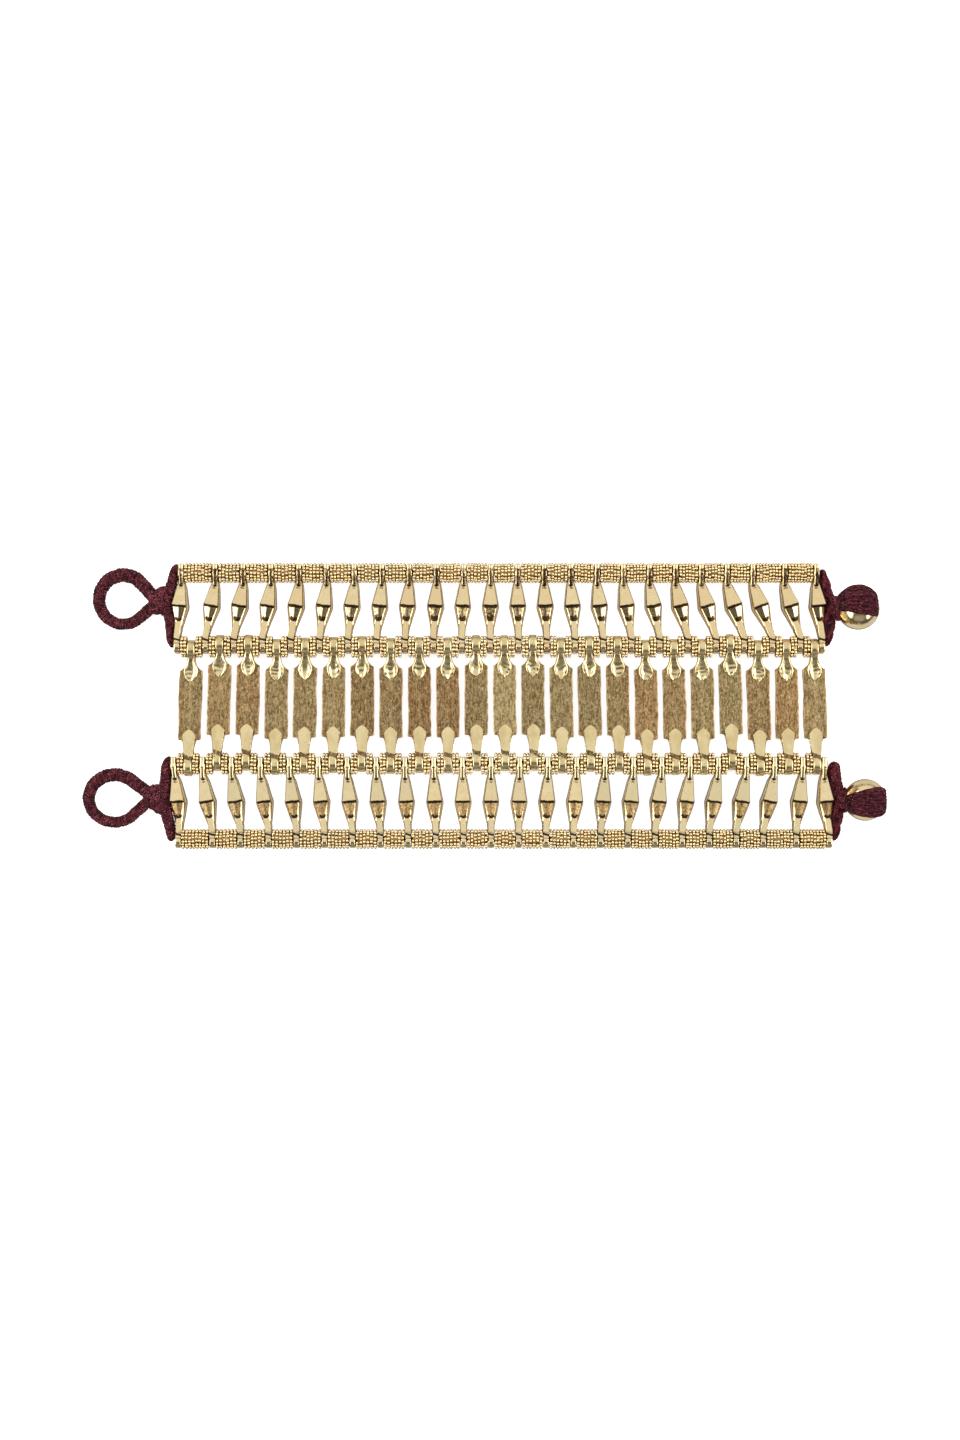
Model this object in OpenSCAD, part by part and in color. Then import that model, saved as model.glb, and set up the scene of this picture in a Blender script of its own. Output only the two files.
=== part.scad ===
// A wide flat bracelet, laid open: cast links and granulated ring beads strung on four threads,
// two thread-wrapped button loops at the left end and two ball buttons at the right end.
// X runs along the band, Y across it and Z up from the surface it lies on, in millimetres.

/* [Ring beads] */
// Outer radius of a granulated ring bead, which rests on the surface
ring_r = 2.35; // [2.2:0.05:2.4]
// Width of one ring bead along its string
ring_w = 1.4; // [1.2:0.05:1.4]
// Radius of the hole through a ring bead
ring_bore_r = 0.9; // [0.85:0.05:1.1]
// Step from ring to ring in the sleeves on the two edge strings
ring_step = 1.44; // [1.4:0.01:1.45]

/* [Threads] */
// Radius of the stringing threads
thread_r = 0.7; // [0.4:0.05:0.75]

/* [Lozenge links] */
// Width of a lozenge link's eye along the string
lozenge_eye_w = 1.5; // [1.3:0.05:1.5]
// Outer radius of the eye
lozenge_eye_r = 2.0; // [1.8:0.05:2.2]
// Radius of the hole through the eye
lozenge_bore_r = 1.0; // [0.9:0.05:1.1]
// Half width of the lozenge at its ridge
lozenge_half_w = 1.8; // [1.6:0.05:1.9]
// Height of the ridge over the string's centre
ridge_h = 1.9; // [1.7:0.05:2.1]

/* [Plate links] */
// Width of a plate
plate_w = 5.4; // [5.0:0.05:5.5]
// Length of a plate across the band
plate_len = 16.3; // [15.5:0.1:16.5]
// Thickness of a plate
plate_t = 1.2; // [1.0:0.1:1.3]
// Width of a plate link's eye along the string
plate_eye_w = 1.9; // [1.7:0.05:1.9]
// Outer radius of the eye
plate_eye_r = 2.25; // [2.2:0.01:2.3]
// Radius of the hole through the eye, wide enough for the link to ride up and down
plate_bore_r = 1.5; // [1.45:0.01:1.55]

/* [Button loops] */
// Radius of the thread-wrapped cord of the loops
cord_r = 1.4; // [1.2:0.05:1.45]
// Height of the limbs' centre line over the surface
limb_z = 2.0; // [1.8:0.05:2.2]

/* [Ball buttons] */
// Radius of a ball
ball_r = 4.8; // [4.6:0.05:4.9]
// Thickness of the layer of strands over a ball
strand_t = 0.4; // [0.35:0.05:0.5]
// Radius of the strand core through a ball
core_r = 0.85; // [0.6:0.05:0.9]

/* [Hidden] */
PLATES = 23;
LOZENGES = 24;
// Where a plate starts below its upper eye, and the height of its face over the string's centre
plate_start = 4.9;
plate_face = 0.6;

// The strings, from the top of the band to the bottom:
// y, x of the first eye, play beside each piece, drift of the middle to the right
S_Y = 0;
S_X = 1;
S_PLAY = 2;
S_DRIFT = 3;
strings = [
    [ 31.4, -71.5, 0.268, 2.0],
    [ 14.0, -72.5, 0.118, 0.4],
    [-13.6, -73.3, 0.133, 0.75],
    [-31.4, -72.2, 0.35, 1.0],
];

// A ring bead's rim over its two rows of granules: place across it in ring widths, depth
ring_rows = [[-0.5, 0.45], [-0.39, 0.1], [-0.25, 0], [-0.07, 0.15],
             [0.07, 0.15], [0.25, 0], [0.39, 0.1], [0.5, 0.45]];

// How far each plate link rides up its threads, link by link
plate_rise = [-0.7, 0.55, 0.6, -0.4, -0.1, 0.05, 0.3, -0.15, 0.05, -0.05, 0.5, 0.5, 0.6, -0.05,
              0.35, 0.35, -0.6, -0.45, -0.4, 0.7, -0.7, -0.4, -0.35];

// A lozenge link's body, section by section: the head counts from the upper eye, the tail from the
// lower one. The top face rises to a ridge with a thin step behind it, then falls away to the tail:
// distance, half width, half width of the top face, underside, shoulder, crest
body_head = [
    [1.3,  0.70, 0.58, -0.90, 1.00, 1.00],
    [2.5,  0.70, 0.58, -1.00, 0.85, 0.85],
    [3.6,  0.88, 0.68, -1.10, 1.00, 1.00],
    [7.7,  lozenge_half_w, 1.50, -1.50, ridge_h, ridge_h],
    [7.95, lozenge_half_w, 1.40, -1.50, ridge_h - 0.45, ridge_h - 0.2],
];
body_tail = [
    [5.6, 1.05, 0.55, -1.20, 0.70, 0.95],
    [2.5, 0.70, 0.58, -1.00, 0.80, 0.80],
    [1.3, 0.70, 0.58, -0.90, 0.85, 0.85],
];
// The folded straps over the two ends of the body: distance, half width, underside, top
hook_strap = [[1.1, 0.68, 0.6, 1.65], [2.5, 0.62, 0.5, 1.30], [3.5, 0.42, 0.6, 1.08]];
tail_strap = [[6.2, 0.36, 0.6, 1.05], [5.7, 0.64, 0.6, 1.25], [2.5, 0.70, 0.6, 1.48],
              [1.0, 0.70, 0.6, 1.62]];

// A plate's outline, with its corners knocked back: distance from the upper eye, half width
plate_rows = [
    [plate_start, plate_w / 2 - 0.35],
    [plate_start + 0.4, plate_w / 2],
    [plate_start + plate_len - 0.35, plate_w / 2],
    [plate_start + plate_len, plate_w / 2 - 0.4],
];
// A plate link's neck and tab, from the eye inwards:
// distance from the eye's centre, half width, underside, top
neck_rows = [
    [1.7, 0.92, -0.90, 1.45],
    [2.8, 0.95, -0.70, 1.30],
    [4.6, 1.15, -0.60, 1.15],
    [6.4, 1.65, 0.30, 1.05],
    [7.1, 1.35, 0.30, 0.98],
    [7.6, 0.60, 0.30, 0.85],
];
tab_rows = [
    [1.7, 0.92, -0.90, 1.45],
    [3.4, 0.98, -0.70, 1.32],
    [5.6, 1.20, -0.60, 1.20],
    [7.6, 1.55, 0.30, 1.10],
    [8.5, 1.15, 0.30, 1.02],
    [8.8, 0.50, 0.30, 0.90],
];

// The loops: centre of the ring, its two radii, the point where its limbs meet
upper_loop = [[-85.5, 25.2], [5.8, 5.9], [-77.2, 24.1]];
lower_loop = [[-87.5, -21.8], [5.7, 5.6], [-78.4, -21.5]];
// The limbs along the band's ends: x, y, radius
upper_loop_limb = [
    [-73.45, 32.3, 0.95], [-73.9, 29.6, 1.1], [-74.8, 26.9, 1.15], [-75.1, 24.5, 1.15],
    [-75.0, 22.4, 1.15], [-74.9, 20.6, 1.1], [-74.6, 18.2, 1.1], [-74.5, 16.2, 1.0],
    [-74.35, 14.0, 0.85],
];
lower_loop_limb = [
    [-74.95, -12.4, 0.7], [-75.4, -14.4, 1.1], [-75.5, -16.6, 1.2], [-76.0, -19.1, 1.2],
    [-76.2, -21.5, 1.2], [-75.8, -23.8, 1.2], [-75.0, -26.3, 1.15], [-74.5, -28.7, 1.1],
    [-74.1, -31.6, 0.9],
];
upper_button_tab = [
    [80.0, 31.9, 0.85], [80.4, 29.7, 1.05], [81.1, 27.4, 1.15], [81.7, 25.2, 1.2],
    [81.9, 23.1, 1.2], [81.9, 21.2, 1.2], [81.8, 19.1, 1.15], [81.65, 17.0, 1.1],
    [81.3, 14.6, 0.85],
];
lower_button_tab = [
    [82.2, -13.5, 1.05], [82.6, -15.8, 1.3], [83.1, -18.3, 1.3], [83.6, -20.5, 1.3],
    [83.8, -22.7, 1.3], [83.7, -25.0, 1.25], [83.4, -27.2, 1.2], [83.2, -29.4, 1.15],
    [83.05, -31.9, 0.85],
];
// The ball buttons: centre, and the angles about the ball's axis between which strands cover it,
// counted from straight up towards the top of the band
upper_button = [[87.5, 23.1], -16, 118];
lower_button = [[89.3, -21.9], -60, 31];

string_z = ring_r;
// Bevel along the underside of a lozenge
belly_bevel = 0.25;
// How far a drill runs past an eye on each side, and a thread past its end links
drill_over = 0.5;
thread_over = 0.1;
// Sides of the cords and of the layer of strands over a ball
cord_fn = 10;
wrap_fn = 36;
// Steps round a loop, and along each of its two straight sides
loop_steps = 22;
side_steps = 3;
// Spread of the two cords bound side by side in a loop's neck, at the ring and at the limbs
neck_spread = [1.25, 2.3];
// How far the neck covers the cords that it binds, and stays inside the limbs that it meets
neck_inset = 0.12;
// Gap under the strands over a ball, and between its hole and the core through it
ball_clear = 0.1;
core_clear = 0.15;
// A ball's knot, at the tab and over it: radius, spread, height
knot_rows = [[1.12, 1.5, limb_z], [1.1, 1.25, 4.7]];

// A plate's node name, counted from 1 with two digits
function plate_name(i) = str("plate_link_", i < 9 ? "0" : "", i + 1);

// Edge strings carry sleeves of three rings, and of four in the first gap and the last two
function rings_in(gap) = gap == 0 || gap > 20 ? 4 : 3;
function sleeve_w(gap) = (rings_in(gap) - 1) * ring_step + ring_w;
function is_edge(s) = s == 0 || s == 3;
// Inner strings carry ring, plate eye and ring, but no second ring in the last gap
function inner_w(gap) = ring_w + plate_eye_w + (gap == LOZENGES - 2 ? 0 : ring_w);
function inner_plays(gap) = gap == LOZENGES - 2 ? 3 : 4;
function step_w(s, gap) = lozenge_eye_w
    + (is_edge(s) ? sleeve_w(gap) + 2 * strings[s][S_PLAY]
                  : inner_w(gap) + inner_plays(gap) * strings[s][S_PLAY]);
function sum_steps(s, n) = n == 0 ? 0 : sum_steps(s, n - 1) + step_w(s, n - 1);
// x of a lozenge link's eye on a string: the pieces before it, and the string's drift
function eye_x(s, i) = strings[s][S_X] + sum_steps(s, i)
    + strings[s][S_DRIFT] * sin(180 * i / (LOZENGES - 1));

// Play beside each piece of one inner gap, and the places of its ring beads and plate eye
function inner_play(s, gap) = (eye_x(s, gap + 1) - eye_x(s, gap) - lozenge_eye_w - inner_w(gap))
    / inner_plays(gap);
function first_ring_x(s, gap) = eye_x(s, gap) + lozenge_eye_w / 2 + inner_play(s, gap) + ring_w / 2;
function plate_x(s, gap) = first_ring_x(s, gap) + ring_w / 2 + inner_play(s, gap) + plate_eye_w / 2;
function second_ring_x(s, gap) = eye_x(s, gap + 1) - lozenge_eye_w / 2 - inner_play(s, gap) - ring_w / 2;

// A closed solid through a list of sections with equally many points each
module loft(sections) {
    n = len(sections[0]);
    last = len(sections) - 1;
    sides = [for (i = [0:last - 1], j = [0:n - 1])
        let (a = i * n + j, b = i * n + (j + 1) % n, c = b + n, d = a + n)
        each [[a, d, c], [a, c, b]]];
    caps = [[for (j = [0:n - 1]) j], [for (j = [n - 1:-1:0]) last * n + j]];
    polyhedron(points = [for (s = sections) each s], faces = concat(caps, sides));
}

// A four-sided section across a strap, neck or tab at (x, y)
function box_section(x, y, half_w, low, top) =
    [[x - half_w, y, low], [x + half_w, y, low], [x + half_w, y, top], [x - half_w, y, top]];

// A seven-sided section across a lozenge, with bevelled flanks and a crest
function crest_section(x, y, half_w, top_w, low, shoulder, crest) =
    let (mid = (low + shoulder) / 2)
    [[x - half_w + belly_bevel, y, low], [x + half_w - belly_bevel, y, low], [x + half_w, y, mid],
     [x + top_w, y, shoulder], [x, y, crest], [x - top_w, y, shoulder], [x - half_w, y, mid]];

// An eye: a short tube across the link, standing over its string
module eye(x, y, r, w) {
    translate([x, y, 0]) rotate([0, 90, 0]) cylinder(h = w, r = r, center = true, $fn = 48);
}

// How far a leaning link has moved sideways at a distance from its upper eye. It stays straight
// between the beads beside each eye and leans in between.
function lean_at(d, pitch, lean) = lean * min(1, max(0, (d - ring_r) / (pitch - 2 * ring_r)));

// One lozenge link from its upper eye at the origin, pitch long and leaning sideways
module lozenge_link(pitch, lean) {
    body = concat(body_head, [for (r = body_tail) concat([pitch - r[0]], [for (k = [1:5]) r[k]])]);
    tail = [for (r = tail_strap) concat([pitch - r[0]], [for (k = [1:3]) r[k]])];
    difference() {
        union() {
            eye(0, 0, lozenge_eye_r, lozenge_eye_w);
            eye(lean, -pitch, lozenge_eye_r, lozenge_eye_w);
            loft([for (r = body)
                crest_section(lean_at(r[0], pitch, lean), -r[0], r[1], r[2], r[3], r[4], r[5])]);
            for (strap = [hook_strap, tail])
                loft([for (r = strap)
                    box_section(lean_at(r[0], pitch, lean), -r[0], r[1], r[2], r[3])]);
        }
        eye(0, 0, lozenge_bore_r, lozenge_eye_w + 2 * drill_over);
        eye(lean, -pitch, lozenge_bore_r, lozenge_eye_w + 2 * drill_over);
    }
}

// A row of lozenge links between string s and the next one down
module lozenge_row(s) {
    pitch = strings[s][S_Y] - strings[s + 1][S_Y];
    color("#c9a96a")
        for (i = [0:LOZENGES - 1])
            translate([eye_x(s, i), strings[s][S_Y], string_z])
                lozenge_link(pitch, eye_x(s + 1, i) - eye_x(s, i));
}

// A plate link: the plate, its neck and tab, and the two eyes over strings 2 and 3
module plate_link(i) {
    top = [plate_x(1, i), strings[1][S_Y] + plate_rise[i]];
    end = [plate_x(2, i), strings[2][S_Y] + plate_rise[i]];
    pitch = top[1] - end[1];
    lean = end[0] - top[0];
    color("#8f7a4e")
        translate([top[0], top[1], string_z])
            difference() {
                union() {
                    eye(0, 0, plate_eye_r, plate_eye_w);
                    eye(lean, -pitch, plate_eye_r, plate_eye_w);
                    loft([for (r = plate_rows)
                        box_section(lean_at(r[0], pitch, lean), -r[0], r[1],
                                    plate_face - plate_t, plate_face)]);
                    loft([for (r = neck_rows)
                        box_section(lean_at(r[0], pitch, lean), -r[0], r[1], r[2], r[3])]);
                    loft([for (k = [len(tab_rows) - 1:-1:0])
                        let (r = tab_rows[k], d = pitch - r[0])
                        box_section(lean_at(d, pitch, lean), -d, r[1], r[2], r[3])]);
                }
                eye(0, 0, plate_bore_r, plate_eye_w + 2 * drill_over);
                eye(lean, -pitch, plate_bore_r, plate_eye_w + 2 * drill_over);
            }
}

// Outline of n rings side by side, centred at zero
function ring_outline(n) = concat(
    [[ring_bore_r, -sleeve_half(n)]],
    [for (i = [0:n - 1], row = ring_rows)
        [ring_r - row[1], (i - (n - 1) / 2) * ring_step + row[0] * ring_w]],
    [[ring_bore_r, sleeve_half(n)]]
);
function sleeve_half(n) = ((n - 1) * ring_step + ring_w) / 2;

// One bead of n rings on a string, drilled for its thread
module ring_bead(s, x, n) {
    translate([x, strings[s][S_Y], string_z])
        rotate([0, 90, 0])
            rotate_extrude($fn = 40)
                polygon(ring_outline(n));
}

module edge_beads(s) {
    color("#cbb073")
        for (gap = [0:LOZENGES - 2])
            ring_bead(s, (eye_x(s, gap) + eye_x(s, gap + 1)) / 2, rings_in(gap));
}

module inner_beads(s) {
    color("#cbb073")
        for (gap = [0:LOZENGES - 2]) {
            ring_bead(s, first_ring_x(s, gap), 1);
            if (gap < LOZENGES - 2)
                ring_bead(s, second_ring_x(s, gap), 1);
        }
}

// A stringing thread, from just outside its first eye to just outside its last
module thread(s) {
    overhang = lozenge_eye_w / 2 + thread_over;
    start = eye_x(s, 0) - overhang;
    stop = eye_x(s, LOZENGES - 1) + overhang;
    color("#3a2118")
        translate([start, strings[s][S_Y], string_z])
            rotate([0, 90, 0]) cylinder(h = stop - start, r = thread_r, $fn = 24);
}

// A chain of rounded lengths through rows of x, y, radius at the limbs' height
module limb(rows) {
    for (i = [0:len(rows) - 2])
        hull()
            for (r = [rows[i], rows[i + 1]])
                translate([r[0], r[1], limb_z]) sphere(r = r[2], $fn = cord_fn);
}

// Points round a loop from the place where its limbs meet: straight to the ring, round it, back
function loop_path(centre, radii, meet) =
    let (open = acos(radii[0] / norm(meet - centre)) * 1.05,
         on_ring = [for (k = [0:loop_steps]) let (a = open + (360 - 2 * open) * k / loop_steps)
             [centre[0] + radii[0] * cos(a), centre[1] + radii[1] * sin(a), cord_r]],
         start = [meet[0], meet[1], (cord_r + limb_z) / 2],
         side = [for (k = [0:side_steps - 1]) k / side_steps])
    concat([for (t = side) start + (on_ring[0] - start) * t], on_ring,
           [for (t = side) start + (on_ring[loop_steps] - start) * (side[side_steps - 1] - t)]);

// Sections of a round cord of radius r along a path that stays almost level
function cord_sections(path, r, sides = cord_fn) =
    let (last = len(path) - 1)
    [for (i = [0:last])
        let (run = path[min(last, i + 1)] - path[max(0, i - 1)],
             across = [-run[1], run[0], 0] / norm([run[0], run[1]]))
        [for (j = [0:sides - 1])
            path[i] + r * (cos(360 * j / sides) * across + sin(360 * j / sides) * [0, 0, 1])]];

// A thread-wrapped loop: the ring, the bound neck and the limbs along the band's end
module button_loop(shape, rows) {
    meet = shape[2];
    sections = cord_sections(loop_path(shape[0], shape[1], meet), cord_r);
    half = floor(len(sections) / 2);
    color("#5c1d2e") {
        // in two halves, because its ends cross each other in the neck
        loft([for (i = [0:half]) sections[i]]);
        loft([for (i = [half:len(sections) - 1]) sections[i]]);
        hull()
            for (side = [-1, 1]) {
                translate([meet[0], meet[1] + side * neck_spread[0], (cord_r + limb_z) / 2])
                    sphere(r = cord_r + neck_inset, $fn = cord_fn);
                translate([rows[4][0], (rows[3][1] + rows[4][1]) / 2 + side * neck_spread[1], limb_z])
                    sphere(r = rows[4][2] - neck_inset, $fn = cord_fn);
            }
        limb(rows);
    }
}

// A ball, drilled along the band for the strand core: half a disc beside the hole, turned round
module ball(button) {
    centre = button[0];
    hole_r = core_r + core_clear;
    color("#d9b870")
        translate([centre[0], centre[1], ball_r])
            rotate([0, 90, 0])
                rotate_extrude($fn = 64)
                    intersection() {
                        circle(r = ball_r, $fn = 64);
                        translate([hole_r, -ball_r]) square([ball_r, 2 * ball_r]);
                    }
}

// The strands over a ball, gathered to a knot on the tab at one pole and drawn into the ball's
// hole at the other, with their core through the ball
module ball_wrap(button, rows) {
    centre = button[0];
    strands_r = ball_r + ball_clear + strand_t;
    clear_r = (ball_r + ball_clear) / pow(cos(180 / wrap_fn), 2);
    color("#5c1d2e") {
        difference() {
            union() {
                limb(rows);
                translate([centre[0], centre[1], ball_r])
                    rotate([0, 0, 180]) rotate([0, -90, 0])
                        rotate([0, 0, -button[2]])
                            rotate_extrude(angle = button[2] - button[1], $fn = wrap_fn)
                                intersection() {
                                    circle(r = strands_r, $fn = wrap_fn);
                                    translate([0, -strands_r]) square([strands_r, 2 * strands_r]);
                                }
                hull()
                    for (k = [0:1], side = [-1, 1])
                        translate([rows[4][0] + k * knot_rows[1][0],
                                   centre[1] + side * knot_rows[k][1], knot_rows[k][2]])
                            sphere(r = knot_rows[k][0], $fn = cord_fn);
            }
            translate([centre[0], centre[1], ball_r])
                sphere(r = clear_r, $fn = wrap_fn);
        }
        translate([centre[0] - ball_r - strand_t, centre[1], ball_r])
            rotate([0, 90, 0]) cylinder(h = 2 * (ball_r + strand_t), r = core_r, $fn = 16);
    }
}

for (i = [0:PLATES - 1])
    plate_link(i);
lozenge_row(0);  // upper_lozenge_links
lozenge_row(2);  // lower_lozenge_links
edge_beads(0);  // upper_edge_beads
inner_beads(1);  // upper_inner_beads
inner_beads(2);  // lower_inner_beads
edge_beads(3);  // lower_edge_beads
thread(0);  // upper_edge_thread
thread(1);  // upper_inner_thread
thread(2);  // lower_inner_thread
thread(3);  // lower_edge_thread
button_loop(upper_loop, upper_loop_limb);  // upper_button_loop
button_loop(lower_loop, lower_loop_limb);  // lower_button_loop
ball(upper_button);  // upper_ball
ball(lower_button);  // lower_ball
ball_wrap(upper_button, upper_button_tab);  // upper_ball_wrap
ball_wrap(lower_button, lower_button_tab);  // lower_ball_wrap
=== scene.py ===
# A wide flat link bracelet laid open: lozenge links, plates and granulated ring beads on four threads,
# thread-wrapped button loops at the left end and ball buttons at the right end.
import math

import bpy
import numpy as np
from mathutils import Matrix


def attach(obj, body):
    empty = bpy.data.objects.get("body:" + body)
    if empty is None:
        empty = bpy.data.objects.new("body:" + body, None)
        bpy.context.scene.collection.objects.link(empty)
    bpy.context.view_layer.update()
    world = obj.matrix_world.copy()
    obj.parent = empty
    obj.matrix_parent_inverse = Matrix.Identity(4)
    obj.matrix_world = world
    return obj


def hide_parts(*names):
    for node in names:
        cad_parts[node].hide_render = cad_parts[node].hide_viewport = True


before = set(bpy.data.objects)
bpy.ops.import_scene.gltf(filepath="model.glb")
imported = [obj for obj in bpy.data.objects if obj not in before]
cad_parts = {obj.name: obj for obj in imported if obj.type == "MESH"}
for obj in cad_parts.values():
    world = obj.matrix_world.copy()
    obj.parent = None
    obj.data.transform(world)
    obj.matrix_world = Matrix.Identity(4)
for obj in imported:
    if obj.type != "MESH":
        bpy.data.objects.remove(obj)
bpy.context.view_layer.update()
print("frame loaded:", len(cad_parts), "nodes")

mm = 0.001
random = np.random.default_rng(11)
# Random phases are drawn from 0 to about a full turn
fullPhase = 6.3

# The camera looks straight down from above the middle of the photograph
camera = {"x": -1.1, "y": -3.3, "height": 502.6, "lens": 53.0}

# Strings from the top of the band to the bottom: y, x of the first eye, play beside each piece and
# drift of the middle to the right, in mm. A ring bead rests on the floor, so strings run at its radius.
# The gaps between links are counted from the left; on the edge strings those named hold four rings.
band = {
    "y": np.array([31.4, 14.0, -13.6, -31.4]),
    "firstEye": np.array([-71.5, -72.5, -73.3, -72.2]),
    "play": np.array([0.268, 0.118, 0.133, 0.35]),
    "drift": np.array([2.0, 0.4, 0.75, 1.0]),
    "height": 2.35, "links": 24, "fourRings": [0, 21, 22], "edgeStrings": (0, 3),
    "ringWide": 1.4, "ringStep": 1.44, "lozengeEye": 1.5, "plateEye": 1.9,
}
gaps = np.arange(band["links"] - 1)
lastGap = gaps == gaps[-1]
ringsInGap = np.where(np.isin(gaps, band["fourRings"]), 4, 3)

# A gap of an inner string holds a ring, a plate's eye and, but for the last gap, a second ring
innerWidth = band["ringWide"] + band["plateEye"] + np.where(lastGap, 0.0, band["ringWide"])
innerPlays = np.where(lastGap, 3, 4)


# x of the lozenge eyes on string s: the widths and play of the pieces before each, and half a sine of drift
def eyePlaces(s):
    if s in band["edgeStrings"]:
        step = (ringsInGap - 1) * band["ringStep"] + band["ringWide"] + 2 * band["play"][s]
    else:
        step = innerWidth + innerPlays * band["play"][s]
    walk = np.concatenate([[0.0], np.cumsum(step + band["lozengeEye"])])
    sway = band["drift"][s] * np.sin(np.pi * np.arange(band["links"]) / (band["links"] - 1))
    return band["firstEye"][s] + walk + sway


# x of the plate eyes of an inner string, and of its rings: the first of each gap, then the second
def innerPlaces(s):
    eyes = eyePlaces(s)
    play = (np.diff(eyes) - band["lozengeEye"] - innerWidth) / innerPlays
    first = eyes[:-1] + band["lozengeEye"] / 2 + play + band["ringWide"] / 2
    plate = first + band["ringWide"] / 2 + play + band["plateEye"] / 2
    second = (eyes[1:] - band["lozengeEye"] / 2 - play - band["ringWide"] / 2)[~lastGap]
    return {"plates": plate, "rings": np.concatenate([first, second])}


# 0 up to a start, 1 from a length past it, and a straight line between; a negative length runs backwards
def ramp(value, start, length):
    return np.clip((value - start) / length, 0, 1)


# 1 at a centre, dying out to both sides of it as a bell of the width given
def bell(value, centre, width):
    return np.exp(-((value - centre) / width) ** 2)


# Arrays and numbers brought to one shape and set side by side, as the columns of points or faces
def columns(*parts):
    return np.stack(np.broadcast_arrays(*parts), -1)


# Vectors brought to length 1
def unit(vectors):
    return vectors / np.linalg.norm(vectors, axis=-1, keepdims=True)


# Evenly spaced angles round a full turn
def wholeTurn(count):
    return 2 * np.pi * np.arange(count) / count


# Distance of each point of a route from the first, along the route
def distances(points):
    return np.concatenate([[0.0], np.cumsum(np.linalg.norm(np.diff(points, axis=0), axis=1))])


# Sideways move of a leaning link at distance d from its upper eye: none beside the eyes, even between
def leanAt(d, pitch, lean):
    return lean * ramp(d, band["height"], pitch - 2 * band["height"])


# Quads of a grid of rows by sides, closed round each row and, if asked, from the last row to the first
def gridQuads(rows, sides, loop=False):
    row = np.arange(rows if loop else rows - 1)[:, None]
    side = np.arange(sides)[None]
    nextRow, nextSide = (row + 1) % rows, (side + 1) % sides
    return columns(row * sides + side, nextRow * sides + side,
                   nextRow * sides + nextSide, row * sides + nextSide).reshape(-1, 4)


# Turns a shell's faces outwards: six times its volume is the sum of the corners' triple products
def facingOut(shell):
    v, q, t = shell["verts"], shell["quads"], shell["tris"]
    threes = np.concatenate([q[:, [0, 1, 2]], q[:, [0, 2, 3]], t])
    volume = np.einsum("ij,ij->", v[threes[:, 0]], np.cross(v[threes[:, 1]], v[threes[:, 2]]))
    if volume < 0:
        shell["quads"], shell["tris"] = q[:, ::-1].copy(), t[:, ::-1].copy()
    return shell


# A closed tube through rows of points, with a pole at each end: the end row's middle unless given
def closedTube(rings, marks=None, poles=None):
    rows, sides = rings.shape[:2]
    marks = np.zeros_like(rings) if marks is None else marks
    poles = rings[[0, -1]].mean(1) if poles is None else poles
    side = np.arange(sides)
    nextSide = (side + 1) % sides
    start, stop, end = rows * sides, rows * sides + 1, (rows - 1) * sides
    return facingOut({
        "verts": np.concatenate([rings.reshape(-1, 3), poles]),
        "quads": gridQuads(rows, sides),
        "tris": np.concatenate([columns(side, nextSide, start), columns(end + nextSide, end + side, stop)]),
        "marks": np.concatenate([marks.reshape(-1, 3), marks[[0, -1]].mean(1)]),
    })


# A tube whose last row meets its first, as round an eye
def closedRing(rings, marks=None):
    marks = np.zeros_like(rings) if marks is None else marks
    return facingOut({"verts": rings.reshape(-1, 3), "quads": gridQuads(*rings.shape[:2], loop=True),
                      "tris": np.zeros((0, 3), int), "marks": marks.reshape(-1, 3)})


# A closed profile of places along x and radii, carried round the x axis
def turnedShell(x, radius, steps):
    turn = wholeTurn(steps)[:, None]
    return closedRing(columns(x, radius * np.cos(turn), radius * np.sin(turn)))


# Shells as one: the faces of each count on from the points before it
def joinShells(shells):
    base = np.cumsum([0] + [len(s["verts"]) for s in shells])
    joined = {key: np.concatenate([s[key] for s in shells]) for key in ("verts", "marks")}
    for key in ("quads", "tris"):
        joined[key] = np.concatenate([s[key] + b for s, b in zip(shells, base)])
    return joined


# One shell many times over: verts and marks are given for each copy, the faces are the same
def repeatShell(shell, verts, marks):
    copies, count = verts.shape[:2]
    base = (np.arange(copies) * count)[:, None, None]
    return {"verts": verts.reshape(-1, 3), "marks": marks.reshape(-1, 3),
            "quads": (shell["quads"][None] + base).reshape(-1, 4),
            "tris": (shell["tris"][None] + base).reshape(-1, 3)}


# The same shell moved by x, y and z
def movedBy(shell, x=0.0, y=0.0, z=0.0):
    return {**shell, "verts": shell["verts"] + np.array([x, y, z])}


# An object at the origin, linked to the scene
def addObject(name, data):
    made = bpy.data.objects.new(name, data)
    bpy.context.scene.collection.objects.link(made)
    return made


# Puts a shell into a mesh in metres, with its marks as an attribute, riding on the band and standing
# for the nodes named. Edges sharper than the angle stay sharp.
def makePiece(name, shell, material, nodes, sharpAngle=38):
    mesh = bpy.data.meshes.new(name)
    mesh.vertices.add(len(shell["verts"]))
    mesh.vertices.foreach_set("co", (shell["verts"] * mm).ravel())
    corners = np.concatenate([shell["quads"].ravel(), shell["tris"].ravel()])
    sizes = np.concatenate([np.full(len(shell["quads"]), 4), np.full(len(shell["tris"]), 3)])
    mesh.loops.add(len(corners))
    mesh.loops.foreach_set("vertex_index", corners)
    mesh.polygons.add(len(sizes))
    mesh.polygons.foreach_set("loop_start", np.cumsum(sizes) - sizes)
    mesh.update(calc_edges=True)
    mesh.validate()
    marks = mesh.attributes.new("marks", "FLOAT_VECTOR", "POINT")
    marks.data.foreach_set("vector", shell["marks"].ravel())
    mesh.polygons.foreach_set("use_smooth", np.ones(len(sizes), bool))
    mesh.set_sharp_from_angle(angle=math.radians(sharpAngle))
    mesh.materials.append(material)
    piece = addObject(name, mesh)
    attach(piece, "root")
    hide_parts(*nodes)


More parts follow.
